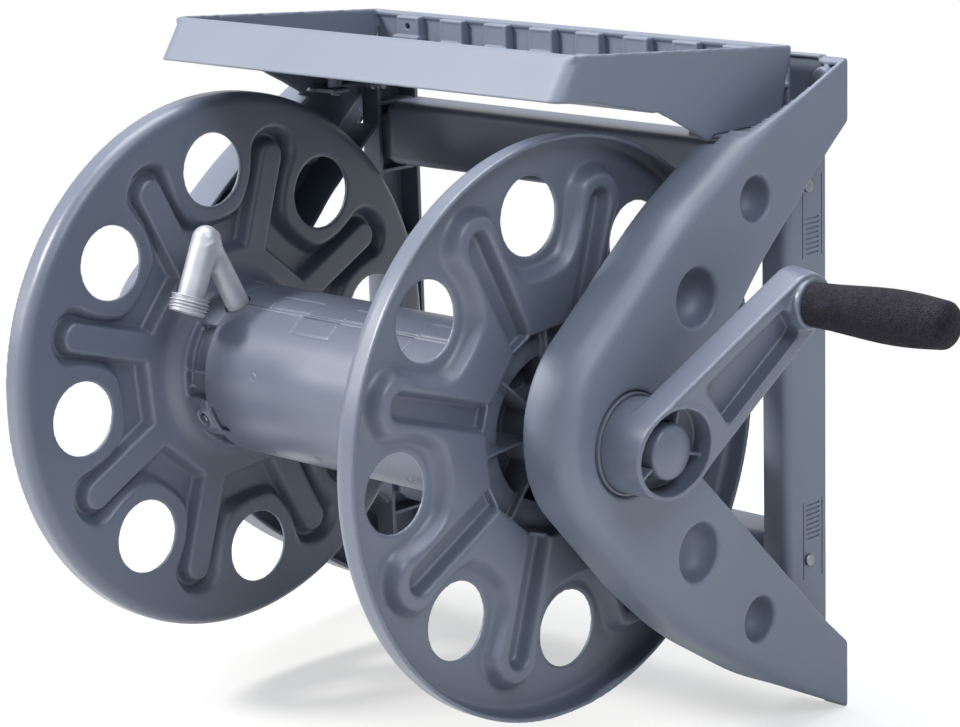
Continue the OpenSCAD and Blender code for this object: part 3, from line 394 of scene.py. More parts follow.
# ---------------------------------------------------------------- solids from distance fields
def surface_net(field, low, step):
    """Vertices and quads of the zero surface of a 3-D array that is negative inside."""
    sign = field < 0.0
    nx, ny, nz = (n - 1 for n in field.shape)
    count = np.zeros((nx, ny, nz), np.uint8)
    for i in (0, 1):
        for j in (0, 1):
            for k in (0, 1):
                count += sign[i:nx + i, j:ny + j, k:nz + k]
    active = (count > 0) & (count < 8)
    index = np.full(active.shape, -1, np.int32)
    index[active] = np.arange(int(active.sum()))
    cell = np.array(np.nonzero(active))
    place = np.zeros((cell.shape[1], 3))
    hits = np.zeros(cell.shape[1])
    for axis in range(3):
        others = [a for a in range(3) if a != axis]
        for i in (0, 1):
            for j in (0, 1):
                a = cell.copy()
                a[others[0]] += i
                a[others[1]] += j
                b = a.copy()
                b[axis] += 1
                fa, fb = field[tuple(a)], field[tuple(b)]
                cut = (fa < 0) != (fb < 0)
                point = a.T[cut].astype(float)
                point[:, axis] += fa[cut] / (fa[cut] - fb[cut])
                place[cut] += point
                hits[cut] += 1
    place = place / hits[:, None] * np.array(step) + np.array(low)
    quads = []
    for axis in range(3):
        u, v = ((1, 2), (2, 0), (0, 1))[axis]
        first = [slice(None)] * 3
        last = [slice(None)] * 3
        first[axis], last[axis] = slice(0, -1), slice(1, None)
        flips = sign[tuple(first)] != sign[tuple(last)]
        edge = np.array(np.nonzero(flips))
        ends = (nx, ny, nz)
        keep = (edge[u] > 0) & (edge[v] > 0) & (edge[u] < ends[u]) & (edge[v] < ends[v])
        edge = edge[:, keep]
        corners = []
        for du, dv in ((-1, -1), (0, -1), (0, 0), (-1, 0)):
            c = edge.copy()
            c[u] += du
            c[v] += dv
            corners.append(index[tuple(c)])
        quad = np.stack(corners, 1)
        inward = sign[tuple(edge)]
        quad[~inward] = quad[~inward][:, ::-1]
        quads.append(quad)
    return place, np.concatenate(quads)


def mesh_piece(name, verts, faces, body, slot):
    """A smooth piece in metres from arrays in millimetres, riding on a body, in a slot's material."""
    mesh = bpy.data.meshes.new(name)
    mesh.vertices.add(len(verts))
    mesh.vertices.foreach_set("co", (np.asarray(verts, float) / MM_PER_M).ravel())
    faces = np.asarray(faces)
    mesh.loops.add(faces.size)
    mesh.loops.foreach_set("vertex_index", faces.ravel().astype(np.int32))
    mesh.polygons.add(len(faces))
    mesh.polygons.foreach_set("loop_start", np.arange(len(faces), dtype=np.int32) * faces.shape[1])
    mesh.update(calc_edges=True)
    mesh.validate()
    mesh.polygons.foreach_set("use_smooth", np.full(len(mesh.polygons), True))
    obj = bpy.data.objects.new(name, mesh)
    bpy.context.scene.collection.objects.link(obj)
    mesh.materials.append(MATERIALS[slot])
    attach(obj, body)
    return obj


def net_piece(name, nodes, field, low, step, body, slot, origin=AXLE, side=1):
    """A piece that stands for CAD nodes, from its field; side -1 mirrors it left to right."""
    verts, quads = surface_net(field, low, step)
    obj = mesh_piece(name, verts * np.array([side, 1.0, 1.0]) + origin, quads[:, ::side], body, slot)
    for node in nodes:
        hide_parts(node)


def grid(low, high, step):
    """Coordinates of every point of a block."""
    axes = [np.arange(*span).astype(np.float32) for span in zip(low, high, step)]
    return np.meshgrid(*axes, indexing="ij")


def thin_grid(low, high, step):
    """The same as a column of x and one plane of y and z, so that plane forms are worked out once."""
    xs, ys, zs = (np.arange(*span).astype(np.float32) for span in zip(low, high, step))
    y, z = np.meshgrid(ys, zs, indexing="ij")
    return xs[:, None, None], y, z


def common(*fields):
    """Largest of several fields: the part that they share."""
    out = fields[0]
    for field in fields[1:]:
        out = np.maximum(out, field)
    return out


def add_to(body, *fields):
    """The body and the part that the fields share."""
    return np.minimum(body, common(*fields))


def cut_from(body, *fields):
    """The body without the part that the fields share."""
    return np.maximum(body, -common(*fields))


def smin(a, b, k):
    """Smaller of two fields, blended over k: a soft union."""
    h = np.clip(0.5 + 0.5 * (b - a) / k, 0.0, 1.0)
    return b * (1 - h) + a * h - k * h * (1 - h)


def smax(a, b, k):
    """Larger of two fields, blended over k: a soft cut or common part."""
    return -smin(-a, -b, k)


def corner(a, b):
    """The part that two fields share, with true distances outside its edge."""
    return np.hypot(np.maximum(a, 0.0), np.maximum(b, 0.0)) + np.minimum(np.maximum(a, b), 0.0)


def step_down(d, width):
    """1 well inside a region, 0 well outside, soft across its edge."""
    t = np.clip(0.5 - d / width, 0.0, 1.0)
    return t * t * (3 - 2 * t)


def unit(angle):
    """Direction of an angle about the axle, in degrees: 0 points to the wall and 90 up."""
    turn = math.radians(angle)
    return math.cos(turn), math.sin(turn)


def polar(angle, y, z):
    """Coordinates along and across a direction."""
    c, s = unit(angle)
    return y * c + z * s, z * c - y * s


def arc_from(angle, centre, r):
    """Arc length from a direction, the same both ways."""
    return np.abs((angle - centre + 180.0) % 360.0 - 180.0) * np.radians(r)


def slab(v, low, high):
    """Distance to the space between two planes."""
    return np.abs(v - (low + high) / 2) - (high - low) / 2


def ring(x, r, x0, x1, outer, inner):
    """Distance to a ring about the axle, from x0 to x1."""
    return np.maximum(slab(x, x0, x1), slab(r, inner, outer))


def bar(y, z, angle, half, reach):
    """Distance to a bar with round ends from the axle to reach."""
    along, across = polar(angle, y, z)
    return np.hypot(common(along - (reach - half), -along, 0.0), across) - half


def soft_box(x, y, z, low, high, radius):
    """Distance to a box with rounded edges."""
    q = [slab(v, a, b) + radius for v, a, b in zip((x, y, z), low, high)]
    out = np.sqrt(sum(np.maximum(v, 0.0) ** 2 for v in q))
    return out + np.minimum(common(*q), 0.0) - radius


def turned_box(y, z, origin, turn, u0, u1, v0, v1):
    """Distance to a rectangle turned about its origin by an angle in radians."""
    c, s = math.cos(turn), math.sin(turn)
    u = (y - origin[0]) * c + (z - origin[1]) * s
    v = (z - origin[1]) * c - (y - origin[0]) * s
    return np.maximum(slab(u, u0, u1), slab(v, v0, v1))


def outline_of(u, v, u0, u1, v0, v1, half):
    """Distance to a line of a half width around a rectangle."""
    return np.abs(np.maximum(slab(u, u0, u1), slab(v, v0, v1))) - half


def rounded(points):
    """Corners (y, z, radius) of a closed outline turned into arcs, in steps of about 2 degrees."""
    out = []
    count = len(points)
    for i in range(count):
        p, q, r = (np.array(points[(i + k) % count][:2], float) for k in (-1, 0, 1))
        u, v = (q - p) / np.linalg.norm(q - p), (r - q) / np.linalg.norm(r - q)
        bend = math.atan2(u[0] * v[1] - u[1] * v[0], float(u @ v))
        radius = points[i][2]
        start = q - u * radius * math.tan(abs(bend) / 2)
        side = 1.0 if bend > 0 else -1.0
        centre = start + np.array([-u[1], u[0]]) * radius * side
        arm = start - centre
        steps = max(1, int(math.ceil(abs(math.degrees(bend)) / 2.0)))
        for j in range(steps + 1):
            c, s = math.cos(bend * j / steps), math.sin(bend * j / steps)
            out.append(centre + np.array([arm[0] * c - arm[1] * s, arm[0] * s + arm[1] * c]))
    return np.array(out)


def outline_distance(y, z, points):
    """Signed distance to a closed outline, negative inside."""
    best = np.full(y.shape, FAR * FAR)
    inside = np.zeros(y.shape, bool)
    for p, q in zip(points, np.roll(points, -1, 0)):
        e = q - p
        length = float(e @ e)
        if length < 1e-9:
            continue
        t = np.clip(((y - p[0]) * e[0] + (z - p[1]) * e[1]) / length, 0.0, 1.0)
        best = np.minimum(best, (y - p[0] - t * e[0]) ** 2 + (z - p[1] - t * e[1]) ** 2)
        if p[1] != q[1]:
            inside ^= ((p[1] > z) != (q[1] > z)) & (y < (q[0] - p[0]) * (z - p[1]) / (q[1] - p[1]) + p[0])
    best = np.sqrt(best)
    return np.where(inside, -best, best).astype(np.float32)


# ---------------------------------------------------------------- sizes that several mouldings share
DRUM_R, DRUM_INNER_R = 57.0, 54.0
SPIGOT_R = 20.0
# The drum's halves part at the seam; their screws lie a quarter turn from it.
SEAM_ANGLE, SCREW_ANGLES = 117.0, (207.0, 27.0)
# The outlet rises from the axle to its bend, from where a leg leads down to the thread.
OUTLET_X, OUTLET_ANGLE, LEG_ANGLE = 109.0, 118.0, 246.8
BEND_Y, BEND_Z = (111.0 * v for v in unit(OUTLET_ANGLE))
# In the part's frame: the screws that hold the tray on the arms, and those in the wall.
TRAY_SCREW_X, TRAY_SCREW_YS = 169.0, (-52.0, -90.0)
WALL_SCREW = 203.2


# ---------------------------------------------------------------- flanges
HOLES = [5.5 + 45.0 * k for k in range(8)]
FINGERS = [28.0 + 45.0 * k for k in range(8)]
HOLE_CIRCLE, HOLE_R, HOLE_LAND_R = 136.0, 24.8, 33.0
PLATE_INNER_X, PLATE_OUTER_X, PLATE_R = 143.4, 146.3, 177.5
# angle and half width of the windows in the collar
WINDOWS = [(angle + turn, half) for turn in (0.0, 180.0)
           for angle, half in ((183.0, 8.4), (155.5, 16.0), (232.0, 8.4), (253.0, 8.4))]


def octagon(y, z, flat):
    """Distance to an octagon whose flats face the holes."""
    far = np.full(y.shape, -FAR)
    for angle in HOLES:
        far = smax(far, polar(angle, y, z)[0] - flat, 4.0)
    return far


def flange_field(x, y, z, outlet):
    """Field of the flange on the crank side, millimetres from the axle, x outward from the middle."""
    r = np.hypot(y, z)
    lobes, holes, grooves, bars = (np.full(y.shape, FAR) for _ in range(4))
    for centre in HOLES:
        c, s = unit(centre)
        d = np.hypot(y - HOLE_CIRCLE * c, z - HOLE_CIRCLE * s)
        lobes = np.minimum(lobes, d - HOLE_LAND_R)
        holes = np.minimum(holes, d - HOLE_R)
    reach = r - 106.0
    for centre in FINGERS:
        reach = smin(reach, bar(y, z, centre, 22.0, 164.0), 12.0)
        grooves = np.minimum(grooves, bar(y, z, centre, 8.2, 151.0))
        bars = np.minimum(bars, bar(y, z, centre, 11.0, 154.0))
    ridge = smax(reach, -lobes, 10.0)

    # a sheet whose faces rise in the fingers, and fall back in their grooves and in the hub's octagon
    outer = smin(step_down(ridge + 0.5, 9.0), step_down(-grooves, 5.5), 0.12)
    outer = 10.5 * smin(outer, step_down(-octagon(y, z, 65.0), 2.4), 0.05)
    inner = smin(step_down(ridge + 3.4, 8.5), step_down(-bars, 5.5), 0.12)
    inner = 10.3 * smin(inner, step_down(-octagon(y, z, 79.0), 6.5), 0.12)
    high = PLATE_OUTER_X + np.clip(outer, 0.0, None)
    low = PLATE_INNER_X + np.clip(inner, 0.0, None)
    pitch = abs(y[1, 0] - y[0, 0])
    lean_high = np.sqrt(1.0 + sum(g * g for g in np.gradient(high, pitch)))
    lean_low = np.sqrt(1.0 + sum(g * g for g in np.gradient(low, pitch)))
    sheet = common((x - high) / lean_high, (low - x) / lean_low, r - PLATE_R, 52.0 - r)
    sheet = smax(sheet, -holes, 1.2)

    # turned rim: flat, quarter turn, then straight out
    bend_r, bend_x, bend = 176.8, 151.4, 6.6
    arc = np.where(x < bend_x, np.abs(np.hypot(r - bend_r, x - bend_x) - bend), np.abs(r - bend_r - bend))
    arc = np.where(r < bend_r, np.abs(x - (bend_x - bend)), arc)
    body = add_to(sheet, arc - 1.5, x - 161.4, 170.0 - r)

    # collar and its flare into the plate
    collar = ring(x, r, 112.3, 146.0, DRUM_R, 47.0)
    flare = 15.0
    flare_r, flare_x = DRUM_R + flare, PLATE_INNER_X - flare
    collar = add_to(collar, flare - np.hypot(r - flare_r, x - flare_x), r - flare_r, flare_x - x,
                    x - 144.5, DRUM_INNER_R - r)
    angle = np.degrees(np.arctan2(z, y))
    for centre, half in WINDOWS:
        pocket = common(arc_from(angle, centre, r) - half, np.abs(r - 54.3) - 3.9, 112.6 - x, x - 131.0)
        collar = smax(collar, -pocket, 0.8)
    # oval dishes with a raised border, for the drum's screws
    for centre in SCREW_ANGLES:
        along, across = polar(centre, y, z)
        oval = np.hypot(across / 1.3, x - 120.0)
        collar = smin(collar, common(oval - 6.4, along - 58.9, 51.0 - along), 2.4)
        collar = smax(collar, -np.maximum(oval - 4.6, 56.9 - along), 0.8)
    body = smin(body, collar, 1.5)

    # spigot inside the drum, then the hub's recess: web, tube, lip, ribs, walls across the groove mouths
    body = add_to(body, ring(x, r, 96.2, 114.0, 53.9, 50.0))
    hub = np.minimum(ring(x, r, 126.0, 129.0, 51.0, SPIGOT_R), ring(x, r, 126.0, 175.3, 25.0, SPIGOT_R))
    hub = add_to(hub, ring(x, r, 172.5, 175.3, 34.0, SPIGOT_R))
    inside = np.minimum(ring(x, r, 128.5, 151.8, 53.0, 24.0), ring(x, r, 143.6, 151.8, 67.0, 24.0))
    for centre in HOLES:
        along, across = polar(centre, y, z)
        hub = add_to(hub, inside, np.abs(across) - 1.1, -along)
    for centre in FINGERS:
        along, across = polar(centre, y, z)
        hub = add_to(hub, np.abs(along - 66.5) - 1.0, np.abs(across) - 9.0, x - 154.0, 143.6 - x)
    body = np.minimum(body, hub)
    if outlet:
        along, across = polar(OUTLET_ANGLE, y, z)
        body = cut_from(body, np.hypot(across, x - OUTLET_X) - 9.0, 38.0 - along)
    return body


def make_flange(name, nodes, side, outlet):
    low, high, step = (94.2, -187.6, -187.6), (178.0, 188.5, 188.5), (1.25, 1.35, 1.35)
    x, y, z = thin_grid(low, high, step)
    field = flange_field(x, y, z, outlet)
    net_piece(name, nodes, field, low, step, "reel", "reel_plastic", side=side)


# ---------------------------------------------------------------- drum and outlet
# where the tabs along the seams start, and the place and angle of the gate marks
REAR_TABS = [-77.0 + 68.0 * k for k in range(3)]
FRONT_TABS = [-44.0 + 68.0 * k for k in range(2)]
GATES = ((-64.0, 168.0), (-21.0, 225.0), (64.0, 225.0))


def make_drum():
    low, high, step = (-127.0, -59.0, -59.0), (127.5, 59.5, 59.5), (0.9, 0.72, 0.72)
    x, y, z = grid(low, high, step)
    r = np.hypot(y, z)
    angle = np.degrees(np.arctan2(z, y))
    skin = np.abs(r - DRUM_R)
    shell = ring(x, r, -112.0, 112.0, DRUM_R, DRUM_INNER_R)

    # arc length in front of the upper seam, and of the lower one seen the same way round
    ahead = np.radians((angle - SEAM_ANGLE + 90.0) % 180.0 - 90.0) * r
    ridge = np.maximum(np.hypot(ahead - 1.4, r - 56.9) - 0.75, np.abs(x) - 110.0)
    shell = smin(shell, ridge, 0.6)
    for tabs, wide, near, far in ((REAR_TABS, 36.0, -15.0, -1.0), (FRONT_TABS, 34.0, 2.5, 16.5)):
        for x0 in tabs:
            line = outline_of(x, ahead, x0, x0 + wide, near, far, 0.55)
            shell = smax(shell, -common(line, skin - 0.9, np.abs(x) - 108.0), 0.4)

    latch = common(arc_from(angle, 206.5, r) - 9.5, 48.0 - r, np.abs(np.abs(x) - 105.6) - 5.0)
    shell = smax(shell, -latch, 0.8)
    for gate_x, gate_angle in GATES:
        away = np.hypot(x - gate_x, arc_from(angle, gate_angle, r))
        shell = smax(shell, -np.maximum(np.abs(away - 2.6) - 0.5, skin - 0.6), 0.3)
        shell = smin(shell, np.hypot(away, r - 56.5) - 0.8, 0.3)

    # tongues past both ends, in line with the screws
    from_screws = np.abs((angle - SCREW_ANGLES[1] + 90.0) % 180.0 - 90.0) * np.radians(r)
    shell = add_to(shell, ring(x, r, -126.0, 126.0, 56.9, DRUM_INNER_R), from_screws - 5.8, 111.0 - np.abs(x))
    along, across = polar(OUTLET_ANGLE, y, z)
    shell = cut_from(shell, np.hypot(across, x + OUTLET_X) - 9.0, 30.0 - along)

    front = polar(SCREW_ANGLES[0], y, z)[0]
    for name, node, half in (("front_shell_moulding", "front_drum_shell", 0.12 - front),
                             ("rear_shell_moulding", "rear_drum_shell", front + 0.12)):
        net_piece(name, (node,), np.maximum(shell, half), low, step, "reel", "reel_plastic")


def make_gooseneck():
    low, high, step = (-177.0, -88.0, -23.0), (-91.0, 23.0, 109.0), (0.8, 0.8, 0.8)
    x, y, z = grid(low, high, step)
    r = np.hypot(y, z)

    def rod(y0, z0, angle, length, radius):
        """Distance to a rod in the outlet's plane."""
        along, across = polar(angle, y - y0, z - z0)
        return common(np.hypot(across, x + OUTLET_X) - radius, along - length, -along)

    elbow = np.sqrt((x + OUTLET_X) ** 2 + (y - BEND_Y) ** 2 + (z - BEND_Z) ** 2) - 9.25
    neck = np.minimum(rod(BEND_Y, BEND_Z, LEG_ANGLE, 40.5, 9.25), elbow)
    neck = smin(neck, rod(0.0, 0.0, OUTLET_ANGLE, 109.0, 8.0), 5.0)
    body = smin(neck, ring(x, r, -175.3, -93.0, SPIGOT_R, 0.0), 3.0)
    # water way: barrel, riser, leg
    body = cut_from(body, r - 14.1, x + 97.0)
    body = cut_from(body, rod(0.0, 0.0, OUTLET_ANGLE, 111.0, 5.0))
    body = cut_from(body, rod(BEND_Y, BEND_Z, LEG_ANGLE, 60.0, 6.2))
    net_piece("gooseneck_casting", ("outlet_gooseneck",), body, low, step, "reel", "outlet_metal")


def make_thread():
    """Sleeve at the end of the leg: rows of rings, an outer skin with helical turns, then the bore."""
    around, rows = 120, 66
    pitch, length = 2.209, 11.0
    theta = np.linspace(0.0, 2.0 * math.pi, around, endpoint=False)
    t = np.linspace(0.0, length, rows)[:, None]
    phase = ((t - pitch * theta[None, :] / (2 * math.pi)) / pitch) % 1.0
    tooth = np.clip(1.55 - 3.1 * np.abs(phase - 0.5) * 2.0 + 0.2, 0.0, 1.0)
    fade = np.clip(np.minimum((t - 1.5) / 1.2, (length - 0.9 - t) / 0.9), 0.0, 1.0)
    radius = 12.05 + 1.35 * tooth * fade
    radius[0:5] = 12.9
    bore_r = [np.full((1, around), v) for v in (11.4, 6.3, 6.3)]
    bore_t = [np.full((1, around), v) for v in (length, length, 0.0)]
    profile_r = np.concatenate([radius] + bore_r)
    profile_t = np.concatenate([np.broadcast_to(t, radius.shape)] + bore_t)
    c, s = unit(LEG_ANGLE)
    start = np.array([-OUTLET_X, BEND_Y + 39.5 * c, BEND_Z + 39.5 * s])
    axis = np.array([0.0, c, s])
    side_a = np.array([1.0, 0.0, 0.0])
    side_b = np.cross(axis, side_a)
    outward = np.cos(theta)[None, :, None] * side_a + np.sin(theta)[None, :, None] * side_b
    verts = start + profile_t[..., None] * axis + profile_r[..., None] * outward
    i = np.arange(len(profile_r))[:, None] * around
    j = np.arange(around)[None, :]
    i_next, j_next = np.roll(i, -1, 0), np.roll(j, -1, 1)
    quads = np.stack([i + j, i + j_next, i_next + j_next, i_next + j], -1).reshape(-1, 4)
    obj = mesh_piece("outlet_thread_turns", verts.reshape(-1, 3) + AXLE, quads, "reel", "outlet_metal")
    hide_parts("outlet_gooseneck")


# ---------------------------------------------------------------- arms
# Outlines of an arm's back and front edges from the axle: y, z and the corner's radius.
ARM_BACK = [
    (122, 171.5, 5), (218, 211.5, 2), (218, 169.3, 2), (196.5, 152, 8), (128.8, 91.8, 80),
    (38.4, -7.2, 22), (196.5, -164.7, 8), (218, -183.7, 2), (218, -230.5, 1), (121.7, -184, 5)]
ARM_FRONT = [
    (278, 230, 0.5), (220, 230, 1), (50.7, 132.5, 300), (-58.5, 42.8, 74), (-58.5, -23.1, 74),
    (15.5, -103.8, 300), (60, -144, 300), (220, -243, 1), (278, -243, 0.5)]
# The back outline carried on forward past the arm's nose.
ARM_AHEAD = [(-200, -184.5, 1), (-200, 171.1, 1)]
# y, z and radius of the dimples, their depth and the power that squares their bowls
DIMPLES = [(121.9, 132.6, 14.8), (63.3, 79.6, 19.0), (63.3, -84.7, 19.4), (123.8, -144.3, 15.4)]
DIMPLE_DEEP, DIMPLE_POWER = 19.0, 2.6
ARM_FACE, ARM_WALL = 215.0, 3.0


def make_arms():
    low, high, step = (159.6, -60.6, -232.2), (217.2, 220.0, 213.6), (1.2, 1.3, 1.3)
    x, y, z = thin_grid(low, high, step)
    r = np.hypot(y, z)
    front = outline_distance(y, z, rounded(ARM_FRONT))
    back = outline_distance(y, z, rounded(list(reversed(ARM_BACK + ARM_AHEAD))))

    def loft(wall):
        """The arm's outer form, drawn in by a wall, with its front edge rolled over."""
        roll_deep, roll_wide = 15.0, 11.0
        deep = np.maximum(x - (ARM_FACE - wall - roll_deep), 0.0) * roll_wide / roll_deep
        return np.maximum(corner(front + wall + roll_wide, deep) - roll_wide, x - (ARM_FACE - wall))

    # what stays of the inside: the wall along the back outline, ribs, a shelf and cups for the dimples
    kept = -(back + ARM_WALL)
    for near, far, start, short, v0, v1 in ((ARM_BACK[0], ARM_BACK[1], -8.0, 1.0, -5.0, 7.0),
                                            (ARM_BACK[9], ARM_BACK[8], 5.0, 9.0, -7.0, 5.0)):
        run = np.array(far[:2], float) - np.array(near[:2], float)
        length = float(np.linalg.norm(run))
        turn = math.atan2(run[1], run[0])
        kept = cut_from(kept, turned_box(y, z, near, turn, start, start + length - short, v0, v1))
    for angle in (118.0, 150.0, 195.0, 232.0):
        kept = add_to(kept, turned_box(y, z, (0.0, 0.0), math.radians(angle), 34.2, 94.2, -1.2, 1.2))
    kept = add_to(kept, np.abs(y - 138.5) - 38.5, np.abs(z - 169.6) - 1.5)
    for a, b, radius in DIMPLES:
        kept = add_to(kept, np.hypot(y - a, z - b) - radius - 4.0, 192.6 - x)

    body = smax(loft(0.0), back, 1.6)
    body = np.maximum(body, 178.0 - x)
    body = cut_from(body, loft(ARM_WALL), -kept)
    body = add_to(body, r - 36.2, np.abs(x - 196.5) - 18.5)
    for a, b, radius in DIMPLES:
        out = (np.hypot(y - a, z - b) / (radius - 0.3)) ** DIMPLE_POWER
        deep = (np.abs(x - ARM_FACE) / DIMPLE_DEEP) ** DIMPLE_POWER
        body = smax(body, -16.0 * ((out + deep) ** (1.0 / DIMPLE_POWER) - 1.0), 2.4)

    # in the part's frame: tabs under the tray, bosses of the post's and the wall's screws
    wall_y, up_z = y - WALL_FROM_AXLE, z + AXLE_UP
    for tab_y in TRAY_SCREW_YS:
        body = add_to(body, np.abs(x - 171.0) - 9.0, np.abs(wall_y - tab_y) - 8.0, np.abs(up_z - 174.6) - 1.5,
                      2.2 - np.hypot(x - TRAY_SCREW_X, wall_y - tab_y))
    for screw_z in (-178.0, 168.0):
        body = add_to(body, np.hypot(wall_y + 20.0, up_z - screw_z) - 6.0, np.abs(x - 205.0) - 9.0)
    for screw_z in (-WALL_SCREW, WALL_SCREW):
        boss = np.hypot(x - WALL_SCREW, up_z - screw_z)
        body = add_to(body, boss - 6.7, np.abs(wall_y + 7.0) - 7.0)
        body = cut_from(body, boss - 3.5, -12.0 - wall_y)

    # bore for the crank, and room for the post and for the tray
    body = smax(body, 32.3 - r, 4.0)
    body = cut_from(body, x - 196.1, -41.3 - wall_y)
    tray_low = common(x - 190.0, np.abs(wall_y + 106.0) - 6.0, 166.1 - z)
    tray_high = common(x - 190.0, np.abs(wall_y + 59.0) - 53.0, 171.2 - z)
    body = cut_from(body, np.minimum(tray_low, tray_high))

    # plate on the wall behind the tray, with a rolled edge
    plan = np.maximum(np.abs(x - 180.0) - 17.0, np.abs(z - 191.6) - 19.6)
    plate = np.maximum(plan, np.abs(wall_y + 2.2) - 2.2)
    border = np.maximum(np.maximum(164.8 - x, z - 208.8), 0.0)
    body = smin(body, add_to(plate, plan, np.abs(wall_y + 3.6) - 3.6, 0.5 - border), 0.6)
    body = np.maximum(body, wall_y + 0.1)
    for name, node, side in (("right_arm_moulding", "right_arm", 1), ("left_arm_moulding", "left_arm", -1)):
        net_piece(name, (node,), body, low, step, "frame", "frame_plastic", side=side)


# ---------------------------------------------------------------- crank
def make_crank():
    low, high, step = (127.0, -33.0, -33.0), (281.0, 119.0, 101.0), (1.0, 1.0, 1.0)
    x, y, z = grid(low, high, step)
    r = np.hypot(y, z)
    # u runs along the leaning arm, v across it and w out of its face, from the middle of the cup
    along, v = polar(38.8, y, z)
    c, s = unit(11.5)
    w = (x - 250.0) * c - along * s
    u = (x - 250.0) * s + along * c
    cup_r, tip_r, reach = 30.0, 19.0, 127.05
    slope = math.asin((cup_r - tip_r) / reach)

    def taper(inset):
        """Distance to the arm's outline, drawn in."""
        a, b = math.sin(slope), math.cos(slope)
        k = np.abs(v) * -a + u * b
        mid = u * a + np.abs(v) * b - cup_r
        outer = np.where(k > reach * b, np.hypot(u - reach, v) - tip_r, mid)
        return np.where(k < 0.0, np.hypot(u, v) - cup_r, outer) + inset

    edge = 1.6
    arm = corner(taper(0.0) + edge, np.maximum(w, -21.0 - w) + edge) - edge
    body = smin(arm, common(r - cup_r, 175.5 - x, w), 2.0)
    slot = smax(taper(8.2), np.abs(u - 75.5) - 37.0, 6.0)
    body = smax(body, -np.maximum(slot, -12.0 - w), 1.2)
    body = smax(body, -np.maximum(np.hypot(u, v) - 27.6, -16.0 - w), 0.8)
    body = add_to(body, ring(x, r, 129.0, 177.0, SPIGOT_R, 0.0))
    # vanes in the cup
    for angle in (70.0, 205.0, 345.0):
        out, across = polar(angle, y, z)
        body = add_to(body, np.abs(across) - 0.9, np.abs(out - 22.5) - 6.0, x - 245.5, 228.0 - x)
    # collar of the handle's pin, and a gate mark
    from_pin = np.hypot(y - 97.03, z - 78.01)
    body = smin(body, np.maximum(from_pin - 16.0, np.abs(x - 274.8) - 4.2), 1.2)
    from_gate = np.hypot(u - 34.5, v + 1.5)
    body = smin(body, np.maximum(from_gate - 1.2, np.abs(w) - 0.7), 0.3)
    # screw hole, seat of the cap, hollows of the spigot and the barrel, then the pin's hole and its nut
    body = cut_from(body, r - 4.3, x - 229.0)
    body = cut_from(body, r - 17.7, 227.9 - x)
    body = cut_from(body, ring(x, r, 127.0, 225.0, 16.0, 9.2))
    body = cut_from(body, ring(x, r, 179.5, 225.0, 26.0, 9.2))
    body = cut_from(body, from_pin - 4.1)
    body = cut_from(body, from_pin - 8.2, x - 263.3)
    net_piece("crank_moulding", ("crank",), body, low, step, "reel", "reel_plastic")


def make_crank_cap():
    low, high, step = (226.8, -19.2, -19.2), (252.0, 19.3, 19.3), (0.6, 0.6, 0.6)
    x, y, z = grid(low, high, step)
    r = np.hypot(y, z)
    dome = np.sqrt(r ** 2 + (x - 205.5) ** 2) - 44.5
    cap = smax(np.maximum(r - 17.45, 228.0 - x), dome, 2.2)
    cap = cut_from(cap, r - 15.0, x - 242.5)
    net_piece("crank_cap_moulding", ("crank_cap",), cap, low, step, "reel", "reel_plastic")


# ---------------------------------------------------------------- tray, in the part's frame
# The tray seen from the side: y, z and the corner's radius. The lip rises from its front corner.
TRAY_SIDE = [
    (-243.2, 213.5, 1), (-209.2, 210.0, 30), (-157.0, 199.5, 60), (-127.0, 184.0, 20), (-107.0, 172.6, 0.8),
    (-102.0, 176.2, 2), (-37.0, 176.2, 3), (-25.2, 224.4, 1.5), (-225.0, 240.7, 1.5)]
LIP_Y, LIP_Z, LIP_RUN, LIP_RISE = -243.2, 213.5, 18.2, 27.2
# y and z of the floor's underside
TRAY_UNDER = ([-242.2, -209.2, -156.2, -25.2], [213.7, 210.1, 197.0, 197.0])


def make_tray_boxes():
    """The row of boxes along the inside of the back wall, the first on a bracket with a hole."""
    low, high, step = (-163.0, -39.0, 198.0), (164.0, -26.4, 224.0), (0.8, 0.6, 0.6)
    x, y, z = grid(low, high, step)
    boxes = np.full(x.shape, FAR, np.float32)
    for k in range(8):
        centre = 42.74 * (k - 3.5)
        box = soft_box(x, y, z, (centre - 10.6, -35.4, 197.0), (centre + 11.2, -25.0, 222.2), 1.2)
        panel = soft_box(x, y, z, (centre - 8.0, -37.0, 206.8), (centre + 8.6, -34.9, 220.0), 0.4)
        box = smax(box, -panel, 0.6)
        foot = soft_box(x, y, z, (centre - 10.6, -37.3, 197.0), (centre + 11.2, -25.0, 205.6), 1.6)
        box = smin(box, foot, 1.6)
        if k == 0:
            bracket = soft_box(x, y, z, (centre - 13.0, -37.4, 197.0), (centre + 12.0, -25.0, 208.5), 1.0)
            hole = np.maximum(np.hypot(x - centre, z - 215.0) - 2.2, -36.0 - y)
            box = smax(np.minimum(box, bracket), -hole, 0.5)
        boxes = np.minimum(boxes, box)
    boxes = common(boxes, y + 27.0, 198.6 - z)
    net_piece("tray_back_boxes", (), boxes, low, step, "frame", "frame_plastic", PART_ORIGIN)


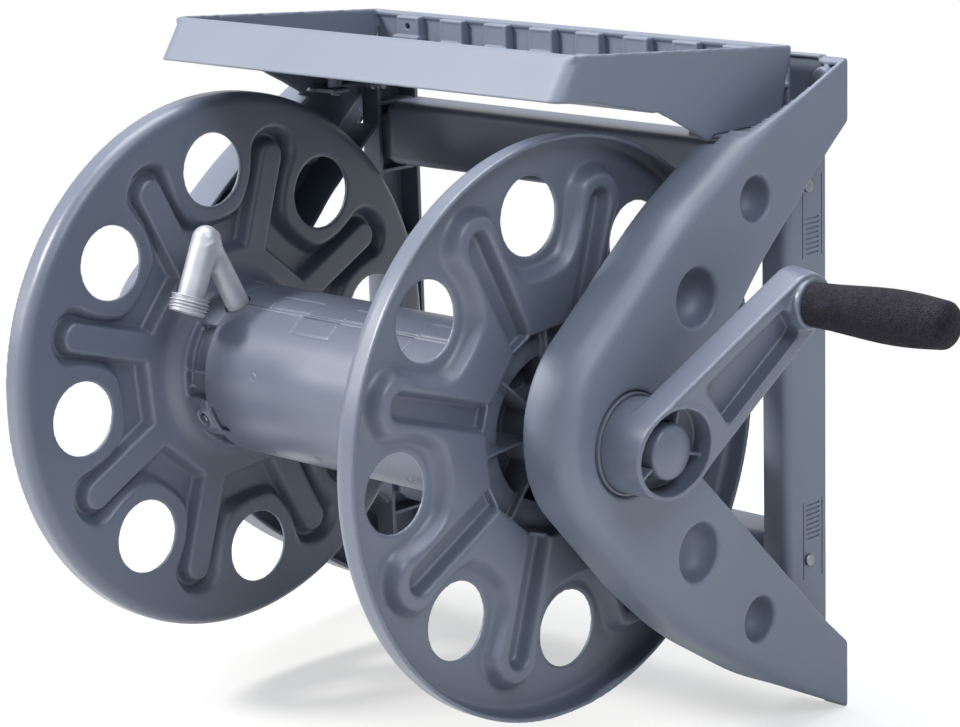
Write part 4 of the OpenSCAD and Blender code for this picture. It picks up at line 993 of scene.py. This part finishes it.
def make_tray():
    low, high, step = (-190.4, -244.6, 171.4), (191.5, -23.0, 242.6), (1.4, 1.25, 1.1)
    x, y, z = thin_grid(low, high, step)
    side = outline_distance(y, z, rounded(TRAY_SIDE))
    lip = -((y - LIP_Y) * LIP_RISE - (z - LIP_Z) * LIP_RUN) / math.hypot(LIP_RUN, LIP_RISE)
    plan = np.abs(x) - (181.7 + (y - LIP_Y) * 0.03303)
    under = np.interp(y[:, 0], *TRAY_UNDER).astype(np.float32)[:, None]
    wall, floor = 3.0, 3.0

    # outer form, hollowed above the floor and below it, then the floor, the back wall and rolled rims
    outer = smax(plan, lip, 12.0)
    inner = np.maximum(smax(plan + wall, lip + wall, 9.0), y + 28.2)
    above = smax(inner, under + floor - z, 3.0)
    body = np.maximum(outer, side)
    body = cut_from(body, above)
    body = cut_from(body, inner, z - under)
    body = add_to(body, outer + 0.6, y + 25.4, np.abs(z - under - floor / 2) - floor / 2)
    body = add_to(body, np.abs(x) - 187.9, np.abs(y + 26.7) - 1.5, np.abs(z - 200.1) - 24.0)
    body = smin(body, np.maximum(np.hypot(y + 27.7, z - 221.9) - 2.4, np.abs(x) - 187.6), 0.8)
    body = smin(body, np.maximum(np.hypot(y + 223.6, z - 238.0) - 2.2, plan + 2.4), 1.0)
    for screw_y in TRAY_SCREW_YS:
        post = np.hypot(np.abs(x) - TRAY_SCREW_X, y - screw_y)
        body = add_to(body, post - 5.0, 176.2 - z, z - 198.5)
        body = cut_from(body, post - 1.9, z - 190.0)
    net_piece("tray_moulding", ("tray",), body, low, step, "frame", "frame_plastic", PART_ORIGIN)


# ---------------------------------------------------------------- crossbars, in the part's frame
def make_crossbar(name, node, z0, tall):
    """A channel open to the wall: rounded ends, rolled long edges, ribs, and a tongue into each post."""
    low, high, step = (-194.5, -40.0, z0 - 1.5), (195.0, -2.0, z0 + tall + 2.0), (1.1, 0.8, 0.8)
    x, y, z = grid(low, high, step)
    ends, roll = 13.0, 6.0
    front = np.where(y < -20.0, -38.4 + ends - y, -100.0)
    plan = corner(np.abs(x) - 175.8 + ends, front) - ends
    body = corner(plan + roll, np.abs(z - z0 - tall / 2) - tall / 2 + roll) - roll
    body = np.maximum(body, y + 4.0)
    body = add_to(body, soft_box(x, y, z, (-193.0, -35.5, z0 + 3.0), (193.0, -6.5, z0 + 34.0), 1.0))
    ribs = np.full(x.shape, FAR, np.float32)
    for k in range(-3, 4):
        ribs = np.minimum(ribs, np.abs(x - 46.0 * k) - 1.3)
    hollow = soft_box(x, y, z, (-172.0, -33.2, z0 + 3.4), (172.0, 10.0, z0 + tall - 3.4), 1.5)
    body = cut_from(body, hollow, -ribs)
    body = cut_from(body, soft_box(np.abs(x), y, z, (166.0, -31.0, z0 + 6.5), (189.5, 10.0, z0 + 30.5), 1.0))
    net_piece(name, (node,), body, low, step, "frame", "frame_plastic", PART_ORIGIN)


make_flange("right_flange_moulding", ("right_flange", "right_hub"), 1, False)
make_flange("left_flange_moulding", ("left_flange", "left_hub"), -1, True)
make_drum()
make_gooseneck()
make_thread()
make_arms()
make_crank()
make_crank_cap()
make_tray_boxes()
make_tray()
make_crossbar("upper_bar_moulding", "upper_crossbar", 114.0, 45.0)
make_crossbar("lower_bar_moulding", "lower_crossbar", -139.0, 37.0)


# ---------------------------------------------------------------- softened CAD nodes
BEVEL_WIDTH, BEVEL_ANGLE = 0.0008, math.radians(28.0)
WELD_WITHIN, FLAT_WITHIN = 0.00001, math.radians(1.5)


def modifier(obj, kind, **sets):
    mod = obj.modifiers.new(kind.lower(), kind)
    for key, value in sets.items():
        setattr(mod, key, value)


def soften(obj):
    """Small bevels along the edges of a CAD node, in metres."""
    modifier(obj, "WELD", merge_threshold=WELD_WITHIN)
    modifier(obj, "DECIMATE", decimate_type="DISSOLVE", angle_limit=FLAT_WITHIN)
    modifier(obj, "BEVEL", width=BEVEL_WIDTH, segments=2, limit_method="ANGLE", angle_limit=BEVEL_ANGLE,
             use_clamp_overlap=True, harden_normals=True)


for node, obj in NODES.items():
    material = MATERIALS[SLOT_OF[node]]
    for i in range(len(obj.data.materials)):
        obj.data.materials[i] = material
    if not obj.data.materials:
        obj.data.materials.append(material)
    soften(obj)
